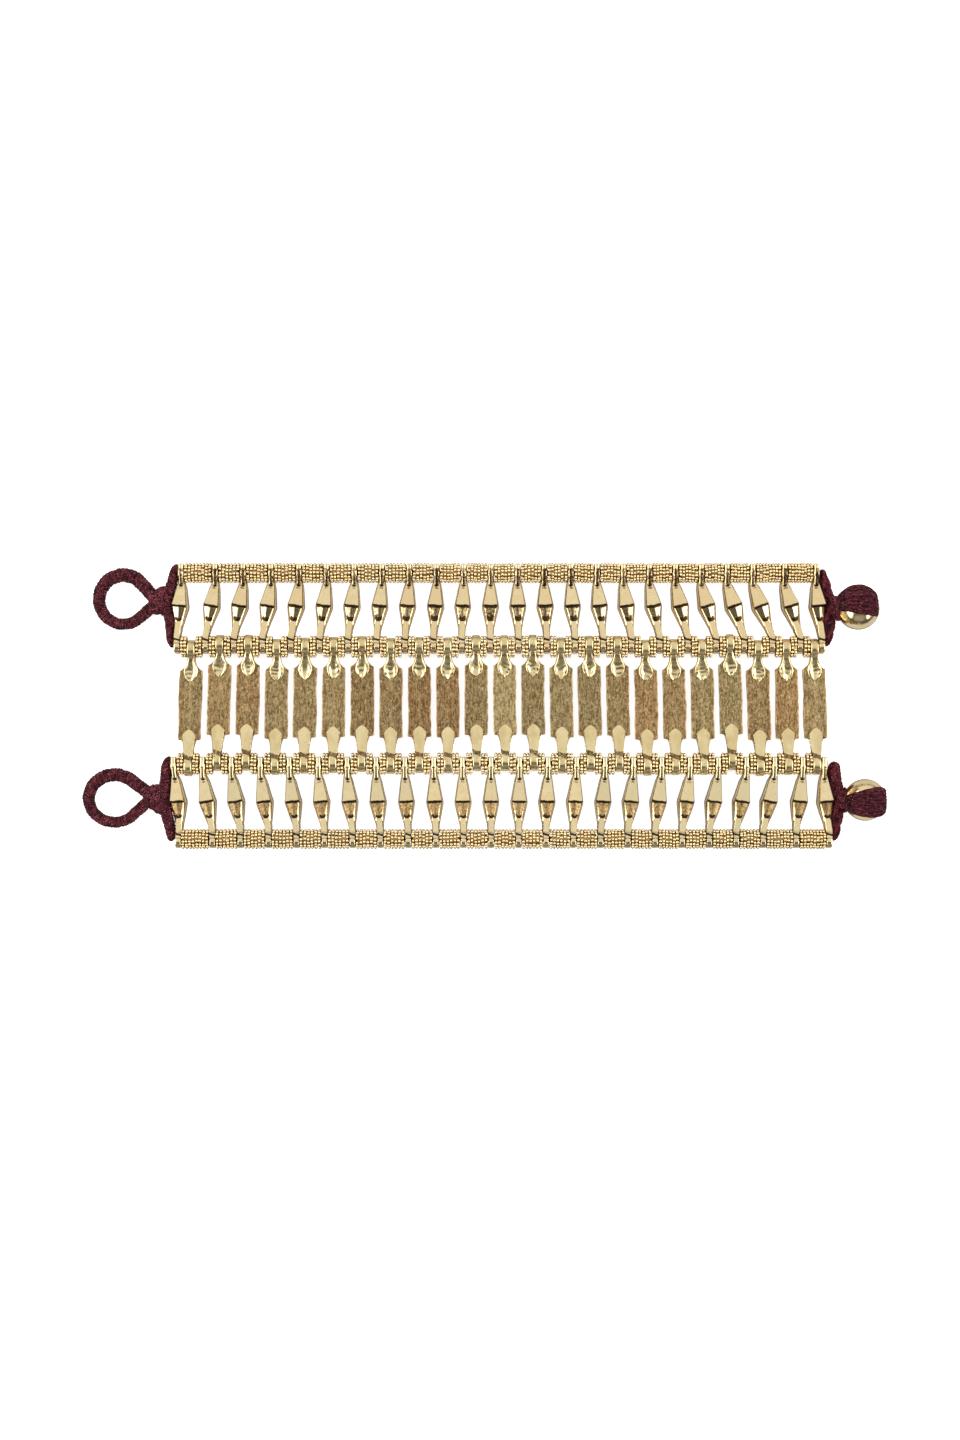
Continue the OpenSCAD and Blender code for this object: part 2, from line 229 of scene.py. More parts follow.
# Columns of a table read off at values of its first column, with straight lines between its rows
def readTable(table, steps):
    table = np.array(table, float)
    return [np.interp(steps, table[:, 0], column) for column in table.T[1:]]


# Steps along a table's first column: its own rows, and others no further apart than spacing
def tableSteps(table, spacing):
    stops = np.array(table, float)[:, 0]
    parts = [np.linspace(a, b, max(int(np.ceil((b - a) / spacing)), 1), endpoint=False)
             for a, b in zip(stops[:-1], stops[1:])]
    return np.concatenate(parts + [stops[-1:]])


# A node with its inputs set by name or number: a link from a value, or a number or colour of its own
def newNode(tree, kind, inputs=None, **settings):
    node = tree.nodes.new(kind)
    for name, value in settings.items():
        setattr(node, name, value)
    for name, value in (inputs or {}).items():
        if isinstance(value, Value):
            tree.links.new(value.socket, node.inputs[name])
        else:
            node.inputs[name].default_value = value
    return node


# The value that comes out of a new node
def newValue(tree, kind, inputs=None, output=0, **settings):
    return Value(newNode(tree, kind, inputs, **settings).outputs[output])


# A value in a node tree, known by the socket that it comes out of
class Value:
    def __init__(self, socket):
        self.socket, self.tree = socket, socket.id_data

    # This value and another through a maths node
    def maths(self, operation, other=0.0, clamp=False):
        return newValue(self.tree, "ShaderNodeMath", {0: self, 1: other}, operation=operation,
                        use_clamp=clamp)

    def __add__(self, other):
        return self.maths("ADD", other)

    def __sub__(self, other):
        return self.maths("SUBTRACT", other)

    def __mul__(self, other):
        return self.maths("MULTIPLY", other)

    # Bottom where the value is below low and top where it is above high, with a smooth step between
    def step(self, low, high, bottom=0.0, top=1.0):
        inputs = {"Value": self, "From Min": low, "From Max": high, "To Min": bottom, "To Max": top}
        return newValue(self.tree, "ShaderNodeMapRange", inputs, interpolation_type="SMOOTHSTEP")

    # The step turned round: 1 below low and 0 above high
    def fall(self, low, high):
        return self.step(low, high, 1.0, 0.0)

    # Colour a where the value is 0 and colour b where it is 1
    def mix(self, a, b, blend="MIX"):
        inputs = {0: self, 6: a, 7: b}
        return newValue(self.tree, "ShaderNodeMix", inputs, 2, data_type="RGBA", blend_type=blend)

    # This colour times another
    def tinted(self, colour):
        inputs = {0: 1.0, 6: self, 7: colour}
        return newValue(self.tree, "ShaderNodeMix", inputs, 2, data_type="RGBA", blend_type="MULTIPLY")

    # Noise over a vector: size is the length of a feature along x, y and z, in mm or in the unit given
    def noise(self, size, detail=3.0, roughness=0.55, unit=mm):
        scaled = newValue(self.tree, "ShaderNodeVectorMath", {0: self, 1: [1 / (s * unit) for s in size]},
                          operation="MULTIPLY")
        inputs = {"Vector": scaled, "Scale": 1.0, "Detail": detail, "Roughness": roughness}
        return newValue(self.tree, "ShaderNodeTexNoise", inputs)

    # The x, y and z of a vector
    def parts(self):
        return [Value(part) for part in newNode(self.tree, "ShaderNodeSeparateXYZ", {0: self}).outputs]


# A material with an empty node tree
def newMaterial(name):
    material = bpy.data.materials.new(name)
    material.use_nodes = True
    material.node_tree.nodes.clear()
    return material


# The piece's own coordinates in metres, and the marks of its mesh
def placeOf(material):
    return newValue(material.node_tree, "ShaderNodeTexCoord", output="Object")


def marksOf(material):
    return newValue(material.node_tree, "ShaderNodeAttribute", output="Vector", attribute_name="marks")


# Gives a material the principled shader with these inputs, and a bump where a height in metres is given
def shaded(material, inputs, height=None):
    tree = material.node_tree
    if height:
        bump = newValue(tree, "ShaderNodeBump", {"Strength": 1.0, "Distance": 1.0, "Height": height})
        inputs["Normal"] = bump
    shader = newValue(tree, "ShaderNodeBsdfPrincipled", inputs)
    newNode(tree, "ShaderNodeOutputMaterial", {"Surface": shader})
    return material


# Painted shade of the sides near the floor, as a brown tint: none above one height and full below the
# other, in mm
def shadeNearFloor(place, colour, low, high, brown):
    return place.parts()[2].fall(low * mm, high * mm).mix(colour, brown, "MULTIPLY")


# Colours of the links and balls: bright and clouded metal, the tones of single pieces, rough casting, its
# pits, painted shade on the sides near the floor, and tarnish together with painted shade and shadow
linkGold = {
    "bright": (0.83, 0.69, 0.41, 1), "clouded": (0.77, 0.62, 0.35, 1), "warm": (0.76, 0.58, 0.31, 1),
    "cool": (0.66, 0.57, 0.35, 1), "cast": (0.38, 0.25, 0.10, 1), "pit": (0.20, 0.11, 0.040, 1),
    "lowShade": (0.40, 0.25, 0.13, 1), "tarnishAndShade": (0.042, 0.025, 0.014, 1),
}


# Polished brass: marks are rough casting, tarnish with painted shade and shadow, and a tone of the piece
def polishedGold():
    material = newMaterial("polished gold")
    place = placeOf(material)
    rough, tarnishAndShade, tone = marksOf(material).parts()
    cloud, grit = place.noise((1.6, 1.6, 1.6)), place.noise((0.42, 0.5, 0.42), 4.0, 0.62)
    specks = place.noise((0.5, 0.5, 0.5), 2.0).step(0.66, 0.74)
    gold = cloud.step(0.3, 0.7).mix(linkGold["bright"], linkGold["clouded"])
    gold = tone.mix(gold, linkGold["warm"])
    gold = tone.maths("MULTIPLY", -1.0, clamp=True).mix(gold, linkGold["cool"])
    gold = rough.step(0.10, 0.90, 0.0, 0.85).mix(gold, linkGold["cast"])
    gold = (rough * grit.step(0.46, 0.60, 0.0, 0.95)).mix(gold, linkGold["pit"])
    # Painted shade: browner on the sides near the floor
    gold = shadeNearFloor(place, gold, 1.8, 3.4, linkGold["lowShade"])
    # Darkened by the second mark (tarnish with painted shade and shadow), by grit and by specks
    dark = (tarnishAndShade + grit * 1.1).step(0.85, 1.30).maths("MAXIMUM", specks * 0.25)
    dull = dark * 0.25 + cloud.step(0.2, 0.8, 0.14, 0.24) + rough.step(0.35, 0.9, 0.0, 0.22)
    inputs = {"Base Color": dark.mix(gold, linkGold["tarnishAndShade"]), "Metallic": 1.0, "Roughness": dull}
    return shaded(material, inputs, cloud * (0.02 * mm) + grit * rough * (0.12 * mm))


# Colours of the ring beads: bright and clouded metal, the tone of single rings, painted shade on the sides
# near the floor, and deep between the granules
beadGold = {
    "bright": (0.78, 0.66, 0.40, 1), "clouded": (0.72, 0.58, 0.33, 1), "warm": (0.78, 0.61, 0.33, 1),
    "lowShade": (0.58, 0.38, 0.20, 1), "deep": (0.42, 0.25, 0.10, 1),
}


# Granulated brass: the second mark grows with depth between the granules, the third is a tone
def granulatedGold():
    material = newMaterial("granulated gold")
    place = placeOf(material)
    depth, tone = marksOf(material).parts()[1:]
    cloud = place.noise((1.2, 1.2, 1.2))
    gold = cloud.step(0.3, 0.7).mix(beadGold["bright"], beadGold["clouded"])
    # Painted shade: browner on the sides near the floor
    gold = shadeNearFloor(place, tone.mix(gold, beadGold["warm"]), 1.4, 3.3, beadGold["lowShade"])
    deep = (depth + cloud * 0.3).step(0.75, 1.40)
    inputs = {"Base Color": deep.mix(gold, beadGold["deep"]), "Metallic": 1.0,
              "Roughness": deep.step(0.0, 1.0, 0.17, 0.45)}
    return shaded(material, inputs, place.noise((0.3, 0.3, 0.3), 2.0) * (0.015 * mm))


# Colours of the plates: olive and copper patina, each dark and light, its shade and light specks, painted
# shade on the sides near the floor, and bare metal
plateTones = {
    "olive": (0.26, 0.19, 0.088, 1), "lightOlive": (0.64, 0.51, 0.26, 1),
    "copper": (0.28, 0.165, 0.075, 1), "lightCopper": (0.61, 0.39, 0.18, 1),
    "shade": (0.31, 0.28, 0.23, 1), "speck": (0.66, 0.52, 0.29, 1), "lowShade": (0.58, 0.38, 0.20, 1),
    "bare": (0.80, 0.67, 0.38, 1), "cloudedBare": (0.70, 0.56, 0.29, 1),
}


# Antique plate: marks are polish, copper and lightness. Patina with a grain along the plate,
# clouds and light specks, and bare brass where the polish mark says so.
def antiquePlate():
    material = newMaterial("antique plate")
    place = placeOf(material)
    polish, copper, light = marksOf(material).parts()
    grain, mottle = place.noise((0.30, 1.7, 0.30), 4.0, 0.6), place.noise((0.45, 0.6, 0.45), 4.0, 0.65)
    cloud = place.noise((2.4, 4.5, 2.4), 2.0)
    olive = light.mix(plateTones["olive"], plateTones["lightOlive"])
    warm = light.mix(plateTones["copper"], plateTones["lightCopper"])
    patina = copper.maths("ADD", (cloud - 0.5) * 1.3, clamp=True).mix(olive, warm)
    lit = (grain * 0.5 + mottle * 0.5).step(0.38, 0.62)
    patina = lit.mix(patina.tinted(plateTones["shade"]), patina)
    specks = place.noise((0.4, 0.55, 0.4)).step(0.58, 0.68, 0.0, 0.75)
    bare = (polish + (mottle - 0.5) * 0.9).step(0.35, 0.65)
    brass = cloud.step(0.3, 0.7).mix(plateTones["bare"], plateTones["cloudedBare"])
    metal = bare.mix(specks.mix(patina, plateTones["speck"]), brass)
    # Painted shade: browner on the sides near the floor
    inputs = {"Base Color": shadeNearFloor(place, metal, 1.5, 2.8, plateTones["lowShade"]), "Metallic": 1.0,
              "Roughness": bare.step(0.0, 1.0, 0.5, 0.24)}
    return shaded(material, inputs, (grain + mottle) * (0.035 * mm) * bare.step(0.0, 1.0, 1.0, 0.35))


# Maroon thread: colours of painted shade between the threads, on them and of painted highlights on the fuzz,
# and the size of the fibres
maroon = {
    "cord": {"dark": (0.010, 0.0035, 0.0045, 1), "middle": (0.072, 0.013, 0.018, 1),
             "light": (0.34, 0.085, 0.108, 1), "fibre": (0.45, 1.6, 4.0)},
    "strands": {"dark": (0.009, 0.003, 0.004, 1), "middle": (0.080, 0.013, 0.019, 1),
                "light": (0.29, 0.066, 0.086, 1), "fibre": (1.8, 0.35, 4.0)},
    "sheen": (0.75, 0.35, 0.42, 1),
}


# Wound thread: marks are the length along the cord, the place across it in mm and 0 between threads to 1,
# lowered where shade is painted
def woundThread(name):
    material, style = newMaterial("maroon " + name), maroon[name]
    marks = marksOf(material)
    patches, threads = marks.noise((2.2, 1.6, 4.0), unit=1.0), marks.noise(style["fibre"], 3.0, 0.6, 1.0)
    fuzz = placeOf(material).noise((0.30, 0.30, 0.30), 3.0, 0.65)
    crest = marks.parts()[2] + (threads - 0.5) * 3.4
    # Painted shade: darker between the threads and wherever the mark is lowered
    colour = crest.step(0.35, 1.05).mix(style["dark"], style["middle"])
    # Painted highlights: light flecks where the fuzz would catch the light
    lit = fuzz.step(0.53, 0.62) * patches.step(0.38, 0.6, 0.2, 1.0)
    inputs = {"Base Color": lit.mix(colour, style["light"]), "Roughness": 0.82, "Specular IOR Level": 0.05,
              "Sheen Weight": 0.03, "Sheen Tint": maroon["sheen"]}
    return shaded(material, inputs, threads * (0.15 * mm) + fuzz * (0.15 * mm))


# Dark stringing thread on the CAD's own cylinders: noise finer along the string than round it
def stringThread():
    material = newMaterial("string thread")
    twist = placeOf(material).noise((0.25, 0.7, 0.7), 2.0)
    colour = twist.step(0.35, 0.65).mix((0.012, 0.006, 0.004, 1), (0.055, 0.022, 0.012, 1))
    return shaded(material, {"Base Color": colour, "Roughness": 0.8}, twist * (0.12 * mm))


gold, granules, plateMetal = polishedGold(), granulatedGold(), antiquePlate()
cordThread, strandThread, darkThread = woundThread("cord"), woundThread("strands"), stringThread()
print("materials made")


# Section of a bar: an arch of half width wide from a quarter of the way up to height high, over a flat
# back 0.8 as wide at height low. Squareness 1 is an ellipse, towards 0 a box with rounded corners.
def archSection(wide, low, high, squareness, points=11):
    turn = np.linspace(0, np.pi, points)
    across = np.sign(np.cos(turn)) * np.abs(np.cos(turn)) ** squareness
    up = 0.25 + 0.75 * np.sin(turn) ** squareness
    x = np.hstack([wide * across, -0.8 * wide, 0.8 * wide])
    return x, np.hstack([low + (high - low) * up, low, low])


# Section of a flat bar: a flat top between plain bevels, straight sides and a flat back
def flatSection(wide, low, high, bevel):
    bevel = np.minimum(bevel, wide * 0.5)
    top, middle, none = wide - bevel, (low + high) / 2, 0 * wide
    x = np.hstack([top, top / 2, none, -top / 2, -top, -wide, -wide, -wide, none, wide, wide, wide])
    z = np.hstack([high] * 5 + [high - bevel, middle, low, low, low, middle, high - bevel])
    return x, z


# A barrel round the string: the arch section carried round the string's axis
def eyeBarrel(wide, outer, bore, steps=20, squareness=0.6):
    x, radius = archSection(wide / 2, bore, outer, squareness, 9)
    return turnedShell(x, radius, steps)


# Lozenge links. Sections of the body: distance from the upper eye, or from the lower one in the tail,
# half width, half width of the top, underside and crest. Gable: distance and half width of the rough
# middle; it starts at distances from the upper eye and stops at distances from the lower one. Straps:
# distance, half width, underside, top; both have a rounded tip.
lozenge = {
    "eyeRadii": (2.0, 1.7), "boreRadius": 1.0, "rollDegrees": 1.2, "fanDegrees": 4.5, "fanReach": 80,
    "ridgeWander": 0.07, "sizeSpread": 0.012, "fadeReach": 75,
    "gableSlope": 0.30, "stripSlope": 0.50, "gableStart": (7.7, 7.9), "gableStop": (6.0, 5.0),
    "tip": 0.5, "hookSquareness": 0.7, "tailBevel": 0.11,
    "head": [[1.3, .70, .56, -.90, 1.00], [2.1, .86, .70, -1.00, .85], [3.6, 1.28, 1.06, -1.20, 1.00],
             [7.7, 2.00, 1.76, -1.60, 1.90], [7.9, 2.03, 1.70, -1.60, 1.72], [8.4, 2.00, 1.60, -1.58, 1.62]],
    "tail": [[6.0, 1.30, 1.02, -1.35, 1.02], [4.3, .95, .78, -1.10, .80], [2.3, .82, .68, -1.00, .80],
             [1.3, .70, .56, -.90, .85]],
    "gable": [[7.7, 1.50], [8.6, 1.32], [11.2, .55], [12.0, .25]],
    "hook": [[-2.15, .60, .6, 1.64], [-1.95, .67, .6, 1.84], [-1.2, .68, .6, 2.00], [-0.5, .64, .6, 2.13],
             [0.1, .62, .6, 2.16], [0.7, .62, .6, 2.03], [1.6, .60, .6, 1.72], [2.6, .60, .5, 1.40],
             [3.4, .54, .5, 1.19]],
    "tailStrap": [[0.9, .72, .6, 1.66], [1.45, .72, .6, 1.50], [1.7, .72, .6, 1.44], [1.95, .72, .6, 1.44],
                  [2.5, .74, .6, 1.46], [5.3, .74, .5, 1.16], [6.2, .55, .5, 1.02]],
}

# The two rows of lozenges: the string above each, how far its links hang lower at all, how far the middles
# of their bodies do, how far the first one bows aside, the range of tones, the least and the most of the
# rough casting, how much of that fades towards the ends of the band and how much dark mottle goes with it
lozengeRows = {
    "upper": {"string": 0, "grooved": False, "drop": 0.0, "slide": 0.0, "firstBow": 0.0, "tones": (0, 0.8),
              "leastCast": 0.05, "mostCast": 0.6, "castFades": 1, "mottled": 1.1},
    "lower": {"string": 2, "grooved": True, "drop": 0.5, "slide": 0.6, "firstBow": 0.45,
              "tones": (-0.8, 0.2), "leastCast": 0.2, "mostCast": 1.0, "castFades": 0, "mottled": 0.0},
}


# Bar along the link: sections set at distance d, arched or with plain bevels, drawn in over a rounded
# tip at the end named
def strap(table, spacing, tip, bevel=None):
    d = tableSteps(table, spacing)[:, None]
    wide, low, high = readTable(table, d)
    reach = d[-1] - d if tip == "end" else d - d[0]
    draw = np.sqrt(1 - (1 - ramp(reach, 0, lozenge["tip"])) ** 2).clip(0.12)
    wide, high = wide * draw, low + (high - low) * draw.clip(0.3) ** 0.5
    if bevel:
        x, z = flatSection(wide, low, high, bevel)
    else:
        x, z = archSection(wide, low, high, lozenge["hookSquareness"])
    return columns(x, -d, z), d


# Body of a lozenge link: sections with a flat back, steep flanks, narrow bevels and a flat facet on the
# upper half. The lower half is a gable that falls off to both sides, steeper in the strips at its edges.
# Painted shadow darkens it under the gable's lip, at the hook's tip in the crook of the head and above the
# tail strap's tip, and painted shade darkens the edges of its top, its flanks and its underside.
def lozengeBody(pitch):
    table = lozenge["head"] + [[pitch - r[0]] + r[1:] for r in lozenge["tail"]]
    d = tableSteps(table, 0.4)
    wide, top, low, crest = readTable(table, d)
    strip = top - 0.15
    rough = np.minimum(readTable(lozenge["gable"], d)[0], strip - 0.15)
    stops = [*lozenge["gableStart"], *(pitch - stop for stop in lozenge["gableStop"])]
    fall = np.interp(d, stops, [0, 1, 1, 0])
    atRough = crest - fall * lozenge["gableSlope"] * rough
    atTop = atRough - fall * lozenge["stripSlope"] * (strip - rough)
    middle = (low + atTop) / 2
    x = columns(0, 0.07, rough * 0.5, 0.93 * rough, rough, strip, top, wide - 0.3 * (wide - top),
                wide, wide, wide - 0.06, wide - 0.28, wide - 0.5, 0)
    z = columns(crest, crest - fall * 0.004, (crest + atRough) / 2, crest + 0.93 * (atRough - crest),
                atRough, atTop, atTop - 0.17, middle + 0.45, middle + 0.1, middle - 0.2,
                low + 0.25, low + 0.05, low, low)
    x, z = np.hstack([x, -x[:, -2:0:-1]]), np.hstack([z, z[:, -2:0:-1]])
    d, top, rough, middle = (a[:, None] for a in (d, top, rough, middle))
    aside, fromTail, topside = np.abs(x), pitch - d, z > middle + 0.12
    inGable = ramp(d, 7.8, 0.1) * ramp(fromTail, 5.4, 0.4) * ramp(aside, rough + 0.1, -0.15)
    # Painted shadow under the lip, at the hook's tip and above the tail strap's tip; painted shade at the
    # top's edges
    lipShadow = 1.5 * bell(d, 7.86, 0.29) * (aside < top - 0.05)
    crookShadow = 0.8 * bell(d, 3.6, 0.3) * ramp(aside, 0.8, -0.5)
    notchShadow = 1.2 * bell(fromTail, 6.2 + 0.6 * aside, 0.6) * ramp(aside, 1.14, -0.6)
    edgeShade = 0.72 * bell(aside, top + 0.04, 0.11)
    paintedShade = np.maximum.reduce([lipShadow, crookShadow, notchShadow, edgeShade])
    # Below the top, a fixed painted shade over the flanks and the underside
    marks = columns(np.where(topside, inGable, 0.02), np.where(topside, paintedShade, 0.42), 0)
    return closedTube(columns(x, -d, z), marks)


# Hook strap: a pale cap, then a dark streak of painted shade to a ragged tip between gold edges, or where it
# is grooved a painted dark spot and a dark line of painted shade between bright ones; painted shadow darkens
# the tip. The tail strap ends at the lower eye in a dark crease of painted shadow, with painted shade along
# its sides.
def lozengeStraps(pitch, grooved):
    rings, d = strap(lozenge["hook"], 0.2, "end")
    x = rings[..., 0]
    # Painted shade down the hook's slot or groove, and painted shadow darkening its tip
    if grooved:
        hookShade = np.maximum(bell(x, 0.1, 0.12), bell(d, 0.3, 0.3)) * ramp(d, 0, 0.2)
    else:
        hookShade = ramp(x, -0.46, 0.14) * ramp(x, 0.57, -0.1) * ramp(d, -1.15, 0.2)
    hook = closedTube(rings, columns(0.03, np.maximum(0.74 * hookShade, ramp(d, 2.3, 0.8)), 0))
    table = [[pitch - r[0]] + r[1:] for r in reversed(lozenge["tailStrap"])]
    rings, d = strap(table, 0.3, "start", lozenge["tailBevel"])
    x = rings[..., 0]
    # Painted shadow in the crease where the tail strap meets the lower eye, and painted shade along its
    # sides
    paintedShade = 1.3 * bell(pitch - d + 0.25 * x, 1.66, 0.27) + 0.5 * bell(np.abs(x), 0.74, 0.1)
    return [hook, closedTube(rings, columns(0, paintedShade, 0))]


# A row of links between its string and the next: the one link leaned, rolled a little and set in place
def lozengeRow(row):
    s, count = row["string"], band["links"]
    pitch = band["y"][s] - band["y"][s + 1]
    upperEye, lowerEye = (eyeBarrel(band["lozengeEye"], radius, lozenge["boreRadius"])
                          for radius in lozenge["eyeRadii"])
    link = joinShells([lozengeBody(pitch), upperEye, movedBy(lowerEye, y=-pitch)]
                      + lozengeStraps(pitch, row["grooved"]))
    x, y, z = link["verts"].T
    d = -y
    upper = eyePlaces(s)[:, None]
    lean = eyePlaces(s + 1)[:, None] - upper
    between = ramp(d, 2.0, 1.5) * ramp(pitch - d, 2.0, 1.5)
    fan = lozenge["fanDegrees"] * (upper - camera["x"]) / lozenge["fanReach"]
    roll = np.radians(fan + random.normal(0, lozenge["rollDegrees"], (count, 1)))
    phase = random.uniform(0, 2 * np.pi, (count, 1))
    onRidge = bell(d, 7.8, 0.35) * (z > 0.6)
    waves = np.sin(2.6 * x + phase) + 0.6 * np.sin(6.3 * x + 2.1 * phase)
    wander = lozenge["ridgeWander"] * waves * onRidge
    wander = wander - x * lean / (pitch - 2 * band["height"]) * between
    size = 1 + random.normal(0, lozenge["sizeSpread"], (count, 1)) * ramp(d, 0, 3) * ramp(pitch - d, 0, 3)
    turned = x * size * np.cos(roll) + (z - 1.4) * np.sin(roll)
    aside = x + (turned - x) * between
    raised = z - x * np.sin(roll) * between
    shift = row["drop"] + row["slide"] * ramp(d, 2.5, 4) * ramp(pitch - d, 2.5, 4)
    bow = row["firstBow"] * np.sin(np.pi * ramp(d, 0, pitch)) * (np.arange(count) == 0)[:, None]
    verts = columns(upper + leanAt(d, pitch, lean) + aside + bow, band["y"][s] - d - wander - shift,
                    band["height"] + raised)
    marks = np.broadcast_to(link["marks"], verts.shape).copy()
    marks[..., 2] += random.uniform(*row["tones"], (count, 1))
    most = row["mostCast"] * (1 - row["castFades"] * np.abs(upper) / lozenge["fadeReach"])
    least = row["leastCast"]
    marks[..., 0] *= least + (1 - least) * most * random.uniform(0.7, 1.0, (count, 1))
    marks[..., 1] += row["mottled"] * marks[..., 0]
    marks[..., 1] *= random.uniform(0.8, 1.0, (count, 1))
    return repeatShell(link, verts, marks)


for name, row in lozengeRows.items():
    makePiece(name + "LozengeLinks", lozengeRow(row), gold, [name + "_lozenge_links"])
print("lozenge links made")


# Ring beads: two columns of granules to a ring, set round a core. Angles of a granule's rows of points
# are counted from the pole that faces out. The rings of the inner strings are a little broader than high.
# Spreads are those of the granules' angle, radius and place, and of how deep they sit.
bead = {
    "granuleRadius": 0.39, "granules": 15, "margin": 0.05, "stretch": 0.96, "coreRadius": 1.60,
    "boreRadius": 0.92, "latitudes": [30, 62, 98, 140], "sides": 8, "coreSteps": 18,
    "broad": [1.02, 1.13, 1.13, 1.02],
    "angleSpread": 0.035, "radiusSpread": 0.06, "placeSpread": 0.03, "depthSpread": 0.02,
}


# One granule: rows of points at its latitudes, with columns out from the string, along it and across
def granuleShell():
    latitude, turn = np.radians(bead["latitudes"])[:, None], wholeTurn(bead["sides"])
    rings = columns(np.cos(latitude), np.sin(latitude) * np.cos(turn), np.sin(latitude) * np.sin(turn))
    return closedTube(rings, poles=np.array([[1.0, 0, 0], [-1.0, 0, 0]]))


# Columns of granules at places x on string s, each turned round the string by its twist
def granuleColumns(x, twist, tone, s):
    ball = granuleShell()
    shape = (len(x), bead["granules"])
    angle = twist[:, None] + wholeTurn(bead["granules"]) + random.normal(0, bead["angleSpread"], shape)
    radius = bead["granuleRadius"] * (1 + random.normal(0, bead["radiusSpread"], shape)).clip(0.88, 1.08)
    place = x[:, None] + random.normal(0, bead["placeSpread"], shape)
    away = band["height"] - radius - np.abs(random.normal(0, bead["depthSpread"], shape))
    each = np.broadcast_arrays(angle, radius, place, away, tone[:, None])
    angle, radius, place, away, tone = (a.reshape(-1, 1) for a in each)
    out, along, across = ball["verts"].T
    reach, side = away + radius * out, radius * across
    verts = columns(place + bead["stretch"] * radius * along,
                    band["y"][s] + bead["broad"][s] * (reach * np.cos(angle) - side * np.sin(angle)),
                    band["height"] + reach * np.sin(angle) + side * np.cos(angle))
    return repeatShell(ball, verts, columns(0, 1 - out, tone))


# Core of each bead: a drum round a bore, as long as its rings, that grows thinner close to both ends
def beadCores(x, count, s):
    along = np.linspace(-1, 1, 5)
    drum = bead["coreRadius"] - 0.12 * np.abs(along) ** 6
    radius = np.append(drum, [bead["boreRadius"]] * 2)
    core = turnedShell(np.append(along, [1, -1]), radius, bead["coreSteps"])
    half = ((count - 1) * band["ringStep"] + band["ringWide"]) / 2 - 0.1
    along, across, up = core["verts"].T
    verts = columns(x[:, None] + half[:, None] * along, band["y"][s] + across, band["height"] + up)
    return repeatShell(core, verts, np.broadcast_to([0.0, 1.0, 0.0], verts.shape))


# Columns of a bead fill the room between its neighbours, less a margin; rings in a sleeve turn a little
# against each other
def beadString(s):
    if s in band["edgeStrings"]:
        eyes = eyePlaces(s)
        middle, counts = (eyes[:-1] + eyes[1:]) / 2, ringsInGap
        room = np.diff(eyes) - band["lozengeEye"] - 2 * bead["margin"]
    else:
        middle = innerPlaces(s)["rings"]
        counts = np.ones(len(middle), int)
        room = np.full(len(middle), band["ringWide"] + 1.1 * band["play"][s])
    x, twist, tone = [], [], []
    for place, n, wide in zip(middle, counts, room):
        step = (wide - 2 * bead["granuleRadius"]) / (2 * n - 1)
        x.append(place + (np.arange(2 * n) - n + 0.5) * step)
        turn = random.uniform(0, 1) + random.normal(0, 0.07, n).repeat(2)
        twist.append(turn + random.normal(0, 0.02, 2 * n))
        tone.append(np.full(2 * n, random.uniform(0, 0.9)))
    x, twist, tone = (np.concatenate(part) for part in (x, twist, tone))
    return joinShells([granuleColumns(x, twist, tone, s), beadCores(middle, counts, s)])


for s, name in enumerate(["upperEdge", "upperInner", "lowerInner", "lowerEdge"]):
    node = name.replace("Edge", "_edge").replace("Inner", "_inner")
    makePiece(name + "Beads", beadString(s), granules, [node + "_beads"], 60)
    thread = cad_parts[node + "_thread"]
    thread.data.materials.clear()
    thread.data.materials.append(darkThread)
print("ring beads made")


